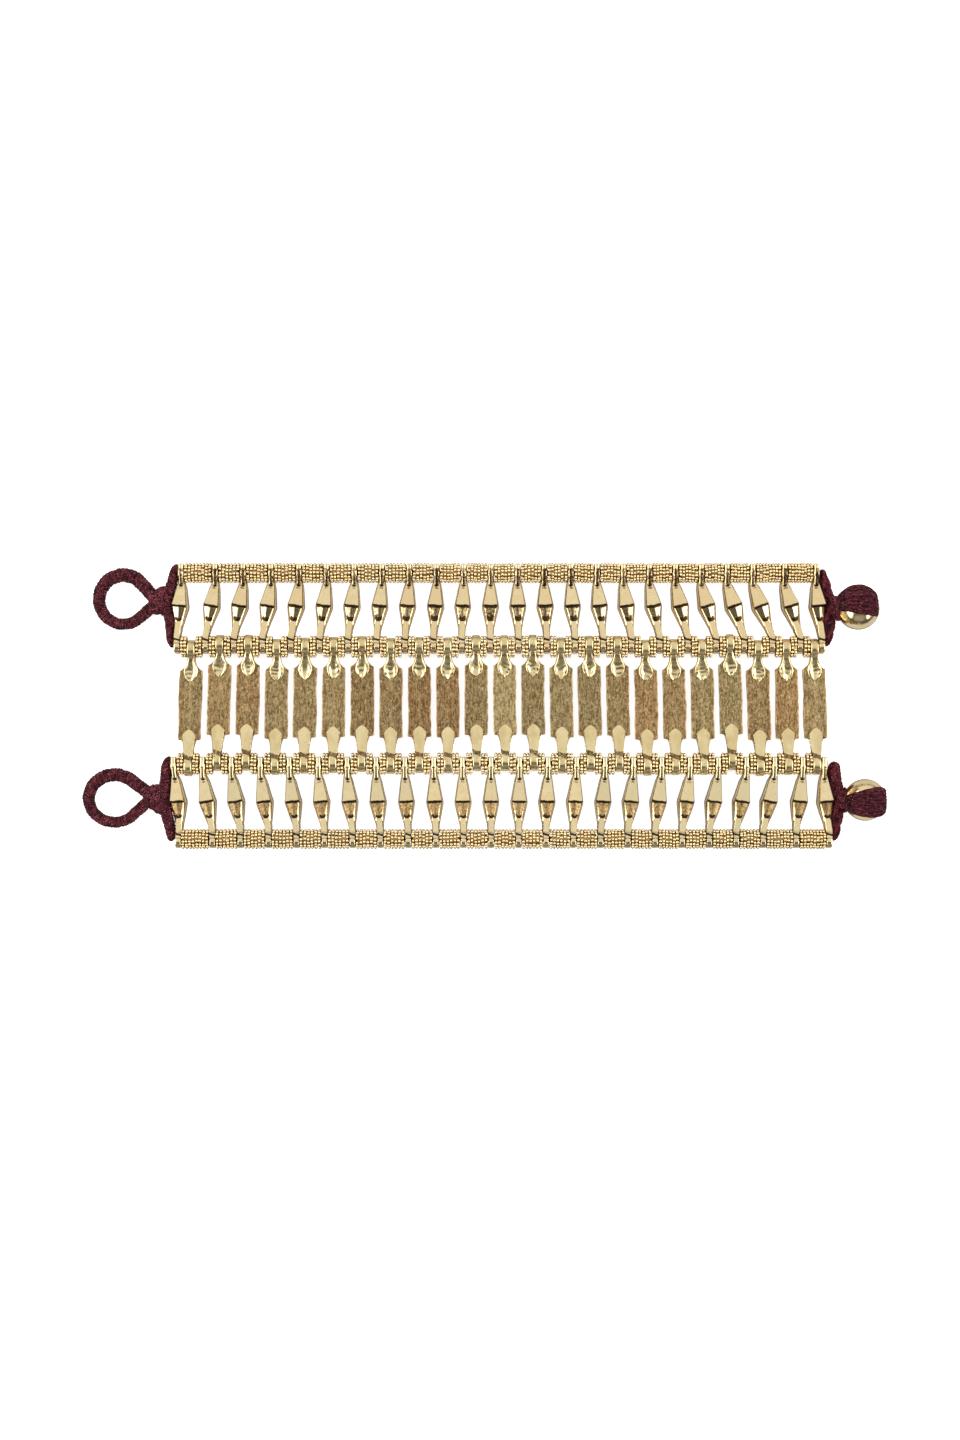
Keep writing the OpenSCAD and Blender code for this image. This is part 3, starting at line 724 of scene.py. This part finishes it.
# Plate links. Rise up the threads, copper and lightness of each plate are charted link by link.
# Outline: distance from the upper eye's centre and half width. Section: share of the half width and depth
# below the face, from the middle to the side. Waves: how many, how long and how high. Neck and tab:
# distance from the eye's centre, half width, underside and top, and the rim of the neck's dished end.
plate = {
    "thick": 1.2, "face": 0.6, "eyeRadius": 2.25, "boreRadius": 1.5, "grooves": 0.05, "tabBevel": 0.13,
    "sideWaves": [(2, 11.0, 0.12), (3, 2.2, 0.06)], "faceWaves": (5, 4.0, 0.07),
    "neckWaves": (6, 1.1, 0.10), "tabWaves": (3, 2.5, 0.02),
    "rise": [-0.7, 0.55, 0.6, -0.4, -0.1, 0.05, 0.3, -0.15, 0.05, -0.05, 0.5, 0.5, 0.6, -0.05,
             0.35, 0.35, -0.6, -0.45, -0.4, 0.7, -0.7, -0.4, -0.35],
    "copper": [0.25, 0.6, 0.75, 0.2, 0.3, 0.3, 0.65, 0.45, 0.9, 0.95, 0.2, 0.05, 0.1, 0.1,
               0.15, 0.4, 0.95, 0.7, 0.25, 0.1, 0.55, 1.0, 0.3],
    "light": [0.45, 0.6, 0.5, 0.5, 0.5, 0.55, 0.3, 0.35, 0.35, 0.4, 0.4, 0.8, 0.4, 0.5,
              0.4, 0.45, 0.6, 0.6, 0.5, 0.5, 0.45, 0.65, 0.6],
    "outline": [[3.3, 1.0], [3.9, 1.4], [4.35, 1.75], [4.7, 2.1], [4.88, 2.4], [4.98, 2.64], [5.15, 2.7],
                [21.1, 2.7], [21.28, 2.62], [21.36, 2.2], [21.42, 1.8], [21.7, 1.6], [22.7, 1.38],
                [23.6, 1.15]],
    "section": [[0, 0], [.2, 0], [.4, 0], [.6, 0], [.75, 0], [.86, 0], [.925, 0], [.99, .09], [1, .22],
                [1, .98], [.96, 1.14]],
    "neck": [[1.1, .93, -.90, 1.90, .00], [1.8, .93, -.90, 1.52, .02], [2.8, 1.03, -.70, 1.32, .07],
             [3.6, 1.28, -.60, 1.24, .10], [4.3, 1.58, .00, 1.17, .14], [5.0, 1.72, .10, 1.10, .20],
             [5.6, 1.66, .30, 1.05, .22], [6.2, 1.50, .30, 1.00, .20], [6.8, 1.20, .30, .96, .15],
             [7.25, .74, .30, .92, .07], [7.5, .34, .30, .84, .02], [7.62, .10, .30, .80, .00]],
    "tab": [[1.1, .95, -.90, 1.90], [1.8, .93, -.90, 1.50], [2.8, 1.08, -.70, 1.35],
            [5.0, 1.28, -.60, 1.22], [7.3, 1.56, .30, 1.12], [7.65, 1.50, .30, 1.09],
            [8.1, 1.15, .30, 1.06], [8.5, .70, .30, 1.00], [8.75, .30, .30, .85]],
}


# A few random waves over the plate, each a sine of a random mix of x and y
def ripple(x, y, waves, length, height):
    total = np.zeros(np.broadcast(x, y).shape)
    for turn, phase, stretch in random.uniform(0, 1, (waves, 3)):
        k, turn = 2 * np.pi / (length * (0.7 + 0.6 * stretch)), fullPhase * turn
        total += np.sin(k * (x * np.cos(turn) + y * np.sin(turn)) + fullPhase * phase)
    return height * total / waves


# The plate: a slab whose outline flares out of the neck and back to the tab, wanders a little on each
# side and has light narrow bevels, with a crease and random waves over its face, and a band of painted
# highlight down the middle, on a few plates faintly darker instead
def plateSlab(copper, light):
    d = tableSteps(plate["outline"], 0.55)[:, None]
    half = readTable(plate["outline"], d)[0]
    ends = ramp(np.minimum(d - d[0], d[-1] - d), 0, 0.3) ** 0.5
    left, right = (ramp(half, 1.2, 1.0) * sum(ripple(0, d, *waves) for waves in plate["sideWaves"])
                   for _ in ("left", "right"))
    across, down = np.array(plate["section"]).T
    across = np.concatenate([across, [0.5, 0, -0.5], -across[:0:-1]])
    down = np.concatenate([down, [plate["thick"]] * 3, down[:0:-1]])
    x = (half + np.where(across > 0, right, left)) * across
    crease = random.uniform(-0.02, 0.06) * bell(across, 0, 0.16)
    z = plate["face"] - down + (down < 0.05) * (crease + ripple(x, d, *plate["faceWaves"]))
    z = z - (1 - ends) * np.sign(z) * 0.2
    edge = np.maximum(0.3 * ramp(np.abs(across), 0.92, 0.04), 0.42 * ramp(half, 2.45, -0.3))
    # Painted highlight along the middle crease of the face, faintly darker on a few plates
    foldHighlight = random.uniform(-0.1, 0.45) * bell(across, 0, 0.12)
    reddened = copper + random.uniform(0, 0.5) * ramp(np.abs(across), 0.65, 0.15)
    return closedTube(columns(x, -d, z), columns(edge, reddened, light + foldHighlight))


# Waves across a section, each drifting along it: a sum of a few random cosines
def streaks(share, d, count):
    total = 0 * share
    for wave, phase, drift, size in random.uniform([5, 0, -1.2, 0.4], [19, fullPhase, 1.2, 1.0], (count, 4)):
        total = total + size * np.cos(wave * share + phase + drift * d)
    return total / count ** 0.5


# Neck: arch sections that widen towards a rounded end, dished between raised rims and streaked along
def plateNeck(copper, light):
    d = tableSteps(plate["neck"], 0.25)[:, None]
    wide, low, high, rim = readTable(plate["neck"], d)
    x, z = archSection(wide, low, high, 0.5, 25)
    share, topside = x / wide, z > low + 0.5 * (high - low)
    dish = rim * (np.cos(np.pi * share) * -0.9 - 0.1) * (1 + random.uniform(-0.5, 0.5) * share)
    lines = plate["grooves"] * streaks(share, d, 5) * ramp(d, 1.3, 1.2)
    lines = lines + ripple(x, d, *plate["neckWaves"]) * ramp(d, 3.5, 1.5)
    dull = 0.4 * bell(d, 1.9, 0.6) + 0.6 * bell(d, 1.25, 0.15)
    dull = dull + 0.15 * ramp(d, 5.2, 0.5) * np.clip(1 - (share / 0.55) ** 2, 0, 1)
    polished = np.where(z < low + 0.25, 0.35, 0.85 - dull)
    return closedTube(columns(x, -d, z + (dish + lines) * topside), columns(polished, copper, light))


# Tab: a flat shield with plain bevels, darkened with painted shade where it bends into the eye
def plateTab(copper, light):
    d = tableSteps(plate["tab"], 0.3)[:, None]
    wide, low, high = readTable(plate["tab"], d)
    x, z = flatSection(wide, low, high, plate["tabBevel"])
    rings = columns(x, -d, z + ripple(x, d, *plate["tabWaves"]))
    # Painted shade where the tab bends into the eye: less polish and a darker patina
    bendShade = bell(d - 0.3 * x, 2.1, 0.6)
    dull = bendShade + 0.5 * (z < low + 0.3) + 0.45 * bell(np.abs(x), wide, 0.1)
    return closedTube(rings, columns(0.95 - dull, copper, light - 0.9 * bendShade))


# One plate link in its place: the pieces of the lower end are turned about and set one pitch down
def plateLink(i):
    upperX, lowerX = (innerPlaces(s)["plates"][i] for s in (1, 2))
    pitch = band["y"][1] - band["y"][2]
    copper, light = plate["copper"][i], plate["light"][i]
    barrel = eyeBarrel(band["plateEye"], plate["eyeRadius"], plate["boreRadius"], steps=32, squareness=0.4)
    barrel["marks"] = np.tile([0.62, copper, light], (len(barrel["verts"]), 1))
    tab = plateTab(copper, light)
    turned = {**tab, "verts": tab["verts"] * [-1, -1, 1] + [0, -pitch, 0]}
    neck = plateNeck(copper, light)
    link = joinShells([plateSlab(copper, light), neck, turned, barrel, movedBy(barrel, y=-pitch)])
    lean = leanAt(-link["verts"][:, 1], pitch, lowerX - upperX)
    link["verts"] = link["verts"] + columns(upperX + lean, band["y"][1] + plate["rise"][i], band["height"])
    return link


for i in gaps:
    number = f"{i + 1:02d}"
    makePiece("plateLink" + number, plateLink(i), plateMetal, ["plate_link_" + number])
print("plate links made")


# Corners of a route cut three times over, then points evenly spaced along it; other columns go with it
def smoothRoute(points, spacing):
    for cut in range(3):
        a, b = points[:-1], points[1:]
        middle = np.stack([0.75 * a + 0.25 * b, 0.25 * a + 0.75 * b], 1).reshape(-1, points.shape[1])
        points = np.concatenate([points[:1], middle, points[-1:]])
    along = distances(points[:, :3])
    steps = np.linspace(0, along[-1], int(along[-1] / spacing) + 2)
    return columns(*(np.interp(steps, along, column) for column in points.T)), steps


# Cord along a route of x, y, z, half width and half height, made longer past both ends by a share of its
# half width
def cordShell(route, style):
    route = np.array(route, float)
    for end, beside in ((0, 1), (-1, -2)):
        away = unit(route[end, :3] - route[beside, :3])
        route[end, :3] += away * route[end, 3] * style["longer"]
    points, along = smoothRoute(route, style["spacing"])
    centre = points[:, :3]
    run = unit(np.gradient(centre, axis=0))
    side = unit(np.cross(run, [0, 0, 1.0]))
    return cordSurface(centre, side, np.cross(side, run), points[:, 3:4], points[:, 4:5], along, style)


# Points round each place of a route: so far out along its side and so far up
def roundRoute(centre, side, up, out, rise):
    return centre[:, None] + out[..., None] * side[:, None] + rise[..., None] * up[:, None]


# Points round each place of a cord: half width along side, half height along up, drawn in to round
# ends, less the dips between the turns of a thread wound round it at a pitch, or between strands laid
# along it where lobes are given, and uneven by slow random waves
def cordSurface(centre, side, up, wide, high, along, style):
    turn, along = wholeTurn(style["sides"]), along[:, None]
    a, b, c = random.uniform(0, fullPhase, 3)
    jitter = 0.35 * np.sin(along * 1.7 + a) + 0.25 * np.sin(along * 4.1 + b)
    if "pitch" in style:
        wave = np.pi * (along / style["pitch"] + jitter) + style["slant"] * np.sin(turn + c)
    else:
        wave = style["lobes"] * turn / 2 + style["twist"] * along + jitter
    crest = np.abs(np.sin(wave)) ** 0.7
    slow = (np.sin(1.9 * along + c) * np.sin(turn + a) + 0.7 * np.sin(3.7 * along + b) * np.sin(2 * turn + c)
            + 0.5 * np.sin(7.9 * along + a) * np.sin(3 * turn + b))
    fromEnd = ramp(np.minimum(along, along[-1] - along), 0, style.get("tip", wide))
    size = 1 - style["depth"] * (1 - crest) + style["uneven"] * slow
    size = size * np.sqrt(1 - (1 - fromEnd) ** 2).clip(0.12)
    rings = roundRoute(centre, side, up, wide * size * np.cos(turn), high * size * np.sin(turn))
    lit = crest - style.get("shade", 0) * np.abs(np.cos(turn)) ** 3
    return closedTube(rings, columns(along, wide * np.cos(turn), lit))


# Button loops: centre, radii and meeting point of the ring, the width of its cord and how much that
# swells towards the top, limbs as x, y, radius, necks as x, y, half width, half height
loops = {
    "cordRadius": 1.4, "limbHeight": 2.0, "neckHeight": 1.7, "highest": 1.35, "steps": 22, "ringShade": 0.45,
    "wound": {"sides": 20, "pitch": 0.62, "slant": 0.9, "depth": 0.15, "uneven": 0.028, "spacing": 0.12,
              "longer": 0.7},
    "neckWound": {"sides": 30, "pitch": 0.62, "slant": 0.9, "depth": 0.06, "uneven": 0.02, "spacing": 0.12,
                  "longer": 0.0, "tip": 0.6},
    "upper": {
        "centre": (-85.4, 25.15), "radii": (5.75, 5.85), "meet": (-77.2, 24.6), "even": 1.58, "swell": 0.17,
        "limb": [(-72.75, 33.2, .5), (-73.15, 32.2, 1.1), (-73.4, 30.7, 1.3), (-73.85, 29.0, 1.35),
                 (-74.35, 27.4, 1.35), (-74.85, 25.7, 1.35), (-75.0, 24.0, 1.35), (-74.75, 22.4, 1.35),
                 (-74.45, 20.7, 1.3), (-74.3, 19.0, 1.2), (-74.15, 17.4, 1.18), (-74.2, 15.8, 1.1),
                 (-73.8, 14.1, .5)],
        "neck": [(-79.3, 24.9, .6, 1.2), (-78.6, 24.4, 1.8, 1.45), (-77.8, 24.2, 2.5, 1.5),
                 (-77.1, 24.1, 2.75, 1.5), (-76.5, 24.55, 3.05, 1.45), (-75.9, 24.95, 3.4, 1.4),
                 (-75.3, 24.9, 3.8, 1.3), (-74.6, 24.6, 3.9, 1.2)],
    },
    "lower": {
        "centre": (-87.45, -21.85), "radii": (6.15, 5.65), "meet": (-78.4, -21.4), "even": 1.52,
        "swell": 0.14,
        "limb": [(-74.45, -12.2, .5), (-75.0, -13.2, 1.1), (-75.2, -14.9, 1.42), (-75.2, -16.5, 1.4),
                 (-75.4, -18.2, 1.5), (-75.5, -19.8, 1.45), (-75.65, -21.5, 1.42), (-75.6, -23.15, 1.42),
                 (-75.2, -24.8, 1.5), (-74.93, -26.4, 1.5), (-74.35, -28.1, 1.42), (-74.15, -29.8, 1.3),
                 (-74.0, -31.4, .8)],
        "neck": [(-80.7, -21.4, .7, 1.2), (-79.9, -21.5, 1.9, 1.4), (-79.0, -21.55, 3.0, 1.5),
                 (-78.0, -21.55, 3.15, 1.5), (-77.2, -21.7, 3.45, 1.4), (-76.6, -21.9, 3.75, 1.3),
                 (-76.1, -21.9, 4.05, 1.2), (-75.5, -21.8, 4.0, 1.1)],
    },
}


# Route of a loop: straight from the meeting point to the ring, round it on an ellipse, and straight back
def loopRoute(loop):
    centre, radii, meet = (np.array(loop[key]) for key in ("centre", "radii", "meet"))
    opening = np.arccos(radii[0] / np.linalg.norm(meet - centre)) * 1.05
    turn = np.linspace(opening, 2 * np.pi - opening, loops["steps"] + 1)
    ring = centre + radii * columns(np.cos(turn), np.sin(turn))
    x, y = np.concatenate([[meet], ring, [meet]]).T
    height = [loops["neckHeight"]] + [loops["cordRadius"]] * len(turn) + [loops["neckHeight"]]
    wide = loop["even"] + loop["swell"] * np.concatenate([[0], np.sin(turn), [0]])
    return columns(x, y, height, wide, loops["cordRadius"])


# Route of a limb or tab at one height: its half width is its radius, and so is its half height up to
# the highest
def limbRoute(rows, height):
    x, y, radius = np.array(rows).T
    return columns(x, y, height, radius, np.minimum(radius, loops["highest"]))


# The ring, the limb and the neck of a loop: cords along their routes, joined
def buttonLoop(loop):
    ring = cordShell(loopRoute(loop), {**loops["wound"], "shade": loops["ringShade"]})
    limb = cordShell(limbRoute(loop["limb"], loops["limbHeight"]), loops["wound"])
    x, y, wide, high = np.array(loop["neck"]).T
    neck = cordShell(columns(x, y, loops["neckHeight"], wide, high), loops["neckWound"])
    return joinShells([ring, limb, neck])


for name in ("upper", "lower"):
    makePiece(name + "ButtonLoop", buttonLoop(loops[name]), cordThread,
              [name + "_button_loop"], 80)
print("button loops made")


# Ball buttons: middle of the ball, the angles between which strands cover it, counted from straight up
# towards the top of the band, where the first and last of them turn down at the far side and how far
# along they reach, the tab, its neck and the knot. Strands turn down at a share of their way; from a
# distance back from the ball's middle they darken with painted shade over a length, towards the neck.
balls = {
    "radius": 4.95, "boreRadius": 0.95, "tabHeight": 2.0, "turnDown": 0.8,
    "strandHigh": 0.38, "strandWide": 0.60, "lift": 0.36, "under": 0.14, "shadeFrom": 3.4, "shadeOver": 0.5,
    "folded": {"sides": 28, "lobes": 5, "twist": 0.42, "depth": 0.20, "uneven": 0.05, "spacing": 0.12,
               "longer": 0.7},
    "strand": {"sides": 14, "lobes": 4, "twist": 0.9, "depth": 0.22, "uneven": 0.05, "shade": 0.9},
    "neckFolds": {"sides": 40, "lobes": 9, "twist": 0.15, "depth": 0.10, "uneven": 0.03, "spacing": 0.15,
                  "longer": 0.0},
    "upper": {
        "centre": (87.7, 22.8, 4.95), "from": -9, "to": 118, "strands": 12, "far": (-1.8, 3.6),
        "reach": 3.95,
        "tab": [(79.67, 31.8, .75), (79.85, 31.0, .95), (80.2, 29.4, 1.3), (80.45, 27.8, 1.55),
                (80.75, 26.1, 1.6), (81.4, 24.4, 1.6), (81.6, 22.75, 1.6), (81.3, 21.1, 1.65),
                (81.2, 19.4, 1.65), (81.1, 17.7, 1.5), (81.0, 16.1, 1.2), (80.65, 14.5, .65)],
        "neck": [(81.5, 23.0, 2.1, 2.6, 1.3), (82.3, 23.0, 2.7, 2.4, 1.6), (83.1, 22.9, 3.5, 2.0, 1.6),
                 (83.9, 22.9, 4.3, 1.9, 1.5)],
        "knot": {"x": 82.75, "y": 22.95, "z": 3.7, "wide": 2.15, "high": 2.1, "radius": 0.9, "slant": 0.2},
    },
    "lower": {
        "centre": (89.3, -22.05, 4.95), "from": -46, "to": 27, "strands": 9, "far": (-2.8, 2.7),
        "reach": 4.35,
        "tab": [(82.45, -14.0, 1.35), (82.5, -15.2, 1.7), (82.5, -16.8, 1.72), (82.85, -18.4, 1.8),
                (83.0, -20.1, 1.75), (83.3, -21.8, 1.7), (83.5, -23.4, 1.65), (83.3, -25.0, 1.6),
                (82.95, -26.7, 1.6), (82.75, -28.4, 1.35), (82.75, -30.0, 1.2), (82.35, -31.3, .75)],
        "neck": [(83.6, -22.2, 2.1, 4.0, 1.4), (84.4, -22.2, 2.8, 4.0, 1.8), (85.2, -22.2, 3.6, 3.5, 2.0),
                 (86.2, -22.2, 4.4, 2.9, 2.1)],
        "knot": None,
    },
}


# Ball with a bore along the band: an arc, closed by the bore's line, carried round the axis
def ballShell(ball):
    mouth = np.arcsin(balls["boreRadius"] / balls["radius"])
    arc = np.linspace(mouth, np.pi - mouth, 49)
    shell = turnedShell(balls["radius"] * np.cos(arc), balls["radius"] * np.sin(arc), 72)
    return movedBy(shell, *ball["centre"])


# Directions of a strand from the ball's middle: a curve through the near end of the bore, the top at the
# strand's own angle and the place at the far side where it turns down, then a bend into the bore there
def strandDirections(angle, far, t):
    aside, up, split = np.sin(angle), np.cos(angle), balls["turnDown"]
    near, top = np.array([-0.94, 0.34 * aside, 0.34 * up]), np.array([-0.1, aside, up])
    turned, inside = np.array([np.sqrt(1 - far ** 2), far, 0.32 * up]), np.array([0.98, 0.1 * aside, -0.12])

    # The parabola that is near where t is 0, top where it is a half and turned where it is 1
    def over(t):
        return near * (1 - 2 * t) * (1 - t) + 4 * top * t * (1 - t) + turned * t * (2 * t - 1)

    last = ramp(t, split, 1 - split)
    bend = (1 - last) ** 2 * over(split) + 2 * last * (1 - last) * turned + last ** 2 * inside
    return unit(np.where(t < split, over(t), bend))


# Strands over a ball, kept short of the far side's own limit. An upper layer lies over the gaps of a
# lower one.
def ballStrands(ball):
    shells = []
    t = np.linspace(0, 1, 62)[:, None]
    spread, centre = ball["to"] - ball["from"], np.array(ball["centre"])
    for layer in range(2):
        for share in (np.arange(ball["strands"] - layer) + 0.5 * layer) / (ball["strands"] - 1):
            angle = np.radians(ball["from"] + spread * share) + random.normal(0, 0.02)
            edge = share * spread / (min(ball["to"], 90) - ball["from"])
            far = np.interp(edge, [0, 1], ball["far"]) / balls["radius"]
            lift = balls["lift"] + random.uniform(-0.05, 0.1) if layer else balls["under"]
            path = strandDirections(angle, far, t) * (balls["radius"] + lift)
            path[:, 1] += 0.06 * np.sin(7 * t[:, 0] + random.uniform(0, fullPhase))
            path[:, 0] = ball["reach"] - np.logaddexp(0, (ball["reach"] - path[:, 0]) * 6) / 6
            run = unit(np.gradient(path, axis=0))
            side = unit(np.cross(run, unit(path)))
            swell = np.sin(np.pi * t ** 0.9).clip(0, 1) ** 0.5
            wide = balls["strandWide"] * random.uniform(0.85, 1.15) * (0.35 + 0.65 * swell)
            strand = cordSurface(centre + path, side, np.cross(side, run), wide, balls["strandHigh"],
                                 distances(path), balls["strand"])
            strand["marks"][:, 0] += 9 * share
            # Painted shade: strands darken towards the neck and the knot
            back = centre[0] - strand["verts"][:, 0]
            strand["marks"][:, 2] -= 1.3 * ramp(back, balls["shadeFrom"], balls["shadeOver"])
            shells.append(strand)
    return shells


# Knot: a twisted ring standing across the neck, leaning by its slant, lifted lighter as a painted highlight
# but for its sides, which are darkened as painted shade
def knotShell(knot):
    turn, around = wholeTurn(64), wholeTurn(20)
    y, z = knot["wide"] * np.cos(turn), knot["high"] * np.sin(turn)
    centre = columns(knot["x"] - knot["slant"] * y, knot["y"] + y, knot["z"] + z)
    run, side = unit(np.roll(centre, -1, 0) - np.roll(centre, 1, 0)), np.array([[1.0, 0, 0]])
    crest = np.abs(np.sin(2 * around + 3 * turn[:, None])) ** 0.7
    radius = knot["radius"] * (1 - 0.2 * (1 - crest))
    out = radius * np.cos(around)
    rings = roundRoute(centre, side, np.cross(side, run), out, radius * np.sin(around))
    # Painted shade on the ring's sides; the rest is lifted lighter as a painted highlight
    sideShade = 1.2 * (np.abs(out / knot["radius"]) > 0.75)
    return closedRing(rings, columns(0.22 * np.arange(len(turn))[:, None], out, crest + 0.25 - sideShade))


# The tab, the neck, the strands and, where there is one, the knot of a ball, joined
def ballWrap(ball):
    tab = cordShell(limbRoute(ball["tab"], balls["tabHeight"]), balls["folded"])
    shells = [tab, cordShell(ball["neck"], balls["neckFolds"])] + ballStrands(ball)
    if ball["knot"]:
        shells.append(knotShell(ball["knot"]))
    return joinShells(shells)


for name in ("upper", "lower"):
    makePiece(name + "BallWrap", ballWrap(balls[name]), strandThread,
              [name + "_ball_wrap"], 80)
    makePiece(name + "Ball", ballShell(balls[name]), gold, [name + "_ball"])
print("ball buttons made")


# Studio: how bright each part of the room is, and values of the direction's own x, y and z between which
# it fades in or out
studio = {
    "overhead": 0.88, "sides": 4.2, "front": 0.30, "shade": 0.02, "horizon": 0.09, "ground": 0.72,
    "underneath": 0.22, "floorGlow": 0.82, "reach": 3.0, "domeReach": 4.05,
    "overheadFrom": (-0.22, -0.04), "overheadAside": (0.50, 0.60), "overheadUp": (-0.12, 0.08),
    "sidesFrom": (0.55, 0.66), "sidesBack": (0.80, 0.95), "frontTo": (-0.74, -0.50),
    "frontAside": (0.3, 0.5), "above": (0.18, 0.34), "below": (-0.25, -0.06), "groundUp": (-0.93, -0.68),
}


# Light of the room: above the horizon the front and the sides, below it the ground, and the overhead light
# and the horizon's own over both
def lightTheRoom():
    world = bpy.data.worlds.new("studio")
    bpy.context.scene.world = world
    world.use_nodes = True
    tree = world.node_tree
    tree.nodes.clear()
    x, y, z = newValue(tree, "ShaderNodeTexCoord", output="Generated").parts()
    aside = x.maths("ABSOLUTE")
    overhead = y.step(*studio["overheadFrom"]) * aside.fall(*studio["overheadAside"])
    sides = aside.step(*studio["sidesFrom"]) * y.fall(*studio["sidesBack"])
    front = y.fall(*studio["frontTo"]) * aside.fall(*studio["frontAside"])
    room = front * studio["front"] + studio["shade"] + sides * studio["sides"]
    ground = z.step(*studio["groundUp"], studio["underneath"], studio["ground"])
    light = room * z.step(*studio["above"]) + z.fall(*studio["below"]) * ground
    light = light + overhead * studio["overhead"] * z.step(*studio["overheadUp"]) + studio["horizon"]
    background = newValue(tree, "ShaderNodeBackground", {"Color": (1.0, 0.985, 0.96, 1), "Strength": light})
    newNode(tree, "ShaderNodeOutputWorld", {"Surface": background})


# A mesh of the stage in a plain material that glows white
def stageMesh(name, corners, faces, inputs):
    mesh = bpy.data.meshes.new(name)
    mesh.from_pydata(corners, [], faces)
    mesh.materials.append(shaded(newMaterial("pale " + name), {"Emission Color": (1, 1, 1, 1), **inputs}))
    return addObject(name, mesh)


# Pale floor that glows softly
def makeFloor():
    reach = studio["reach"]
    corners = [(-reach, -reach, 0), (reach, -reach, 0), (reach, reach, 0), (-reach, reach, 0)]
    floor = stageMesh("floor", corners, [(0, 1, 2, 3)], {
        "Base Color": (0.8, 0.8, 0.8, 1), "Roughness": 0.9, "Emission Strength": studio["floorGlow"]})
    floor.visible_glossy = False


# Part of a sphere that the camera alone sees, pale, in place of the lights
def makeDome():
    latitude, turn = np.radians(np.linspace(-8, 89, 14))[:, None], wholeTurn(32)
    rings = studio["domeReach"] * columns(np.cos(latitude) * np.cos(turn), np.cos(latitude) * np.sin(turn),
                                          np.sin(latitude))
    dome = stageMesh("dome", rings.reshape(-1, 3), gridQuads(*rings.shape[:2]).tolist(), {
        "Base Color": (0, 0, 0, 1), "Emission Strength": 1.0})
    dome.visible_diffuse = dome.visible_glossy = dome.visible_transmission = dome.visible_shadow = False


# The camera looks straight down from its height above the floor
def placeCamera():
    data = bpy.data.cameras.new("camera")
    data.lens = camera["lens"]
    data.clip_start, data.clip_end = 0.01, 20
    view = addObject("camera", data)
    view.location = (camera["x"] * mm, camera["y"] * mm, camera["height"] * mm)
    bpy.context.scene.camera = view


lightTheRoom()
makeFloor()
makeDome()
placeCamera()
bpy.context.scene.view_settings.view_transform = "Standard"
print("studio ready")
